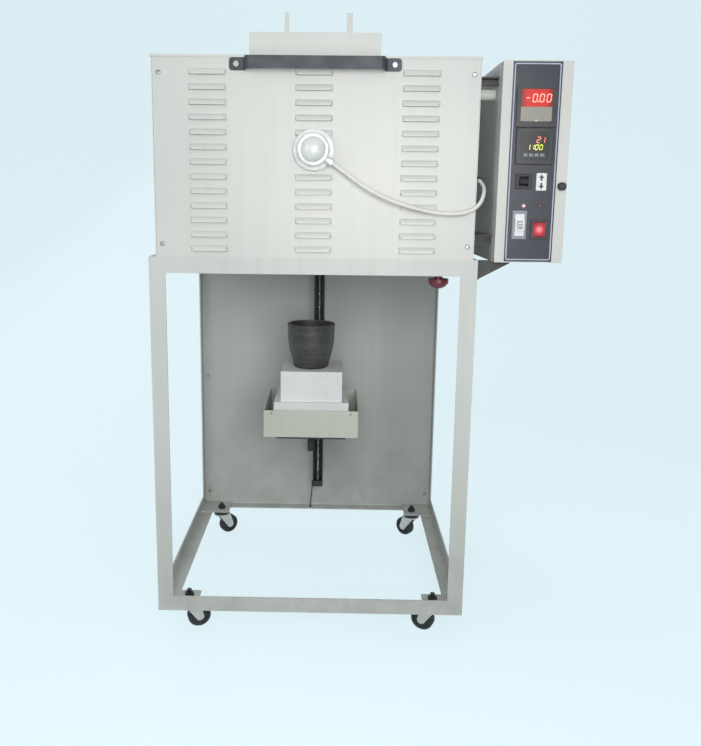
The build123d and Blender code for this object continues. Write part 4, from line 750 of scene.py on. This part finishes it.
enamel = painted_sheet("pale_enamel", (0.62, 0.63, 0.60), (0.575, 0.59, 0.565))
# The stand's enamel is the body's pale enamel made darker as painted shade, and darker again towards the
# bottom.
shaded_stand_enamel = painted_sheet("shaded_stand_enamel", (0.58, 0.60, 0.575), (0.53, 0.555, 0.53), 0.48, 0.9, 0.4)
# The rear panel's enamel is darker still: painted shade for the panel in the shadow of the body.
shaded_rear_enamel = painted_sheet("shaded_rear_enamel", (0.55, 0.57, 0.55), (0.49, 0.51, 0.495), 0.55, 0.9, 0.5)
tray_enamel = painted_sheet("tray_enamel", (0.56, 0.575, 0.51), (0.52, 0.54, 0.48), 0.45, 0.7)
box_enamel = painted_sheet("box_enamel", (0.60, 0.61, 0.58), (0.55, 0.56, 0.54), 0.42, 0.6)
black_paint = black_enamel("black_enamel", (0.018, 0.019, 0.021), (0.07, 0.07, 0.07))
handle_coat = wrinkle_coat("handle_coat", (0.030, 0.040, 0.052), (0.060, 0.072, 0.085))
bright_zinc = zinc_plate("zinc_plate")
screw_zinc = zinc_plate("screw_zinc", (0.40, 0.41, 0.41), (0.30, 0.29, 0.27), 0.3)
casting = silvered_casting("silvered_casting")
insulation_board = fibre_board("insulation_board", (0.82, 0.81, 0.77), (0.76, 0.75, 0.70), (0.66, 0.60, 0.50))
plug_brick = fibre_board("plug_brick", (0.80, 0.81, 0.80), (0.75, 0.76, 0.76))
slab_board = fibre_board("slab_board", (0.76, 0.76, 0.74), (0.71, 0.72, 0.70))
black_moulding = moulded_plastic("black_moulding", (0.02, 0.021, 0.022), 0.45)
case_moulding = moulded_plastic("case_moulding", (0.022, 0.023, 0.028), 0.3, 0.00002)
pale_moulding = moulded_plastic("pale_moulding", (0.66, 0.68, 0.70), 0.35)
tyre = soft_rubber("castor_tyre", (0.040, 0.044, 0.046))
boot_rubber = soft_rubber("boot_rubber", (0.030, 0.031, 0.033))
motor_paint = black_enamel("motor_enamel", (0.05, 0.06, 0.075), (0.12, 0.13, 0.14), 0.4)
rim_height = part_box("crucible")[1].z
castor_corners = ("fl", "fr", "rl", "rr")
screw_pitch = 5 * MM

dress(enamel, "front_panel", "side_panels", "top_panel", "deck_plate", "terminal_cover", "cover_lugs")
dress(box_enamel, "control_box", "control_door")
dress(shaded_stand_enamel, "stand_frame")
dress(shaded_rear_enamel, "back_panels")
dress(tray_enamel, "hearth_tray")
dress(black_paint, "lift_column", "hearth_bracket", "lift_carriage", "box_brackets")
dress(handle_coat, "front_handle")
dress(black_paint, "castor_stems")
dress(bright_zinc, "inner_casing", *(f"castor_fork_{corner}" for corner in castor_corners))
dress(screw_zinc, "body_screws", "tray_screws")
dress(threaded_steel("oiled_steel", screw_pitch), "lead_screw")
dress(tyre, *(f"castor_wheel_{corner}" for corner in castor_corners))
dress(casting, "thermocouple_head", "thermocouple_cap", "thermocouple_gland")
dress(glazed_tube("fired_alumina"), "thermocouple_sheath")
dress(boot_rubber, "cable_grommet")
dress(insulation_board, "insulation")
dress(plug_brick, "hearth_bricks")
dress(slab_board, "hearth_slab")
dress(fired_clay_graphite("clay_graphite", rim_height), "crucible")
dress(carbide("silicon_carbide"), "heating_elements")
dress(brushed_alloy("terminal_alloy", (0.60, 0.60, 0.61)), "element_clamps")
dress(brushed_alloy("sink_alloy", (0.45, 0.46, 0.48)), "control_gear")
dress(motor_paint, "gear_motor")
dress(black_moulding, "limit_switch", "earth_lead", "door_knob", "mains_gland", "lift_switch", "lift_paddle")
dress(case_moulding, "current_meter", "temperature_controller", "power_switch")
dress(printed_film("fascia_film", (0.036, 0.038, 0.058), (0.032, 0.036, 0.048)), "panel_fascia")
dress(moulded_plastic("conduit_moulding", (0.58, 0.60, 0.56), 0.5), "cable_conduit")
dress(breaker_moulding("breaker_moulding", middle("circuit_breaker"), 8.8 * MM, 20.3 * MM), "circuit_breaker")
dress(pale_moulding, "breaker_toggle")
dress(moulded_plastic("stop_base_moulding", (0.50, 0.38, 0.05), 0.45), "stop_base")
dress(moulded_plastic("stop_red", (0.16, 0.020, 0.032), 0.32, 0.00002), "stop_button")
rocker_middle = middle("power_rocker")
dress(lit_plastic("rocker_red", (0.42, 0.030, 0.045), (1.0, 0.36, 0.36), rocker_middle, 15 * MM, 0.9),
      "power_rocker")
lamps_low, lamps_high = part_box("indicator_lamps")
lit_lamp = Vector((lamps_low.x + 5 * MM, 0, (lamps_low.z + lamps_high.z) / 2))
dress(lit_plastic("lamp_lens", (0.10, 0.06, 0.07), (1.0, 0.72, 0.74), lit_lamp, 6.5 * MM, 1.6),
      "indicator_lamps")
threaded_screw(screw_pitch, core=5.1 * MM, crest=5.9 * MM)
dress_panel()
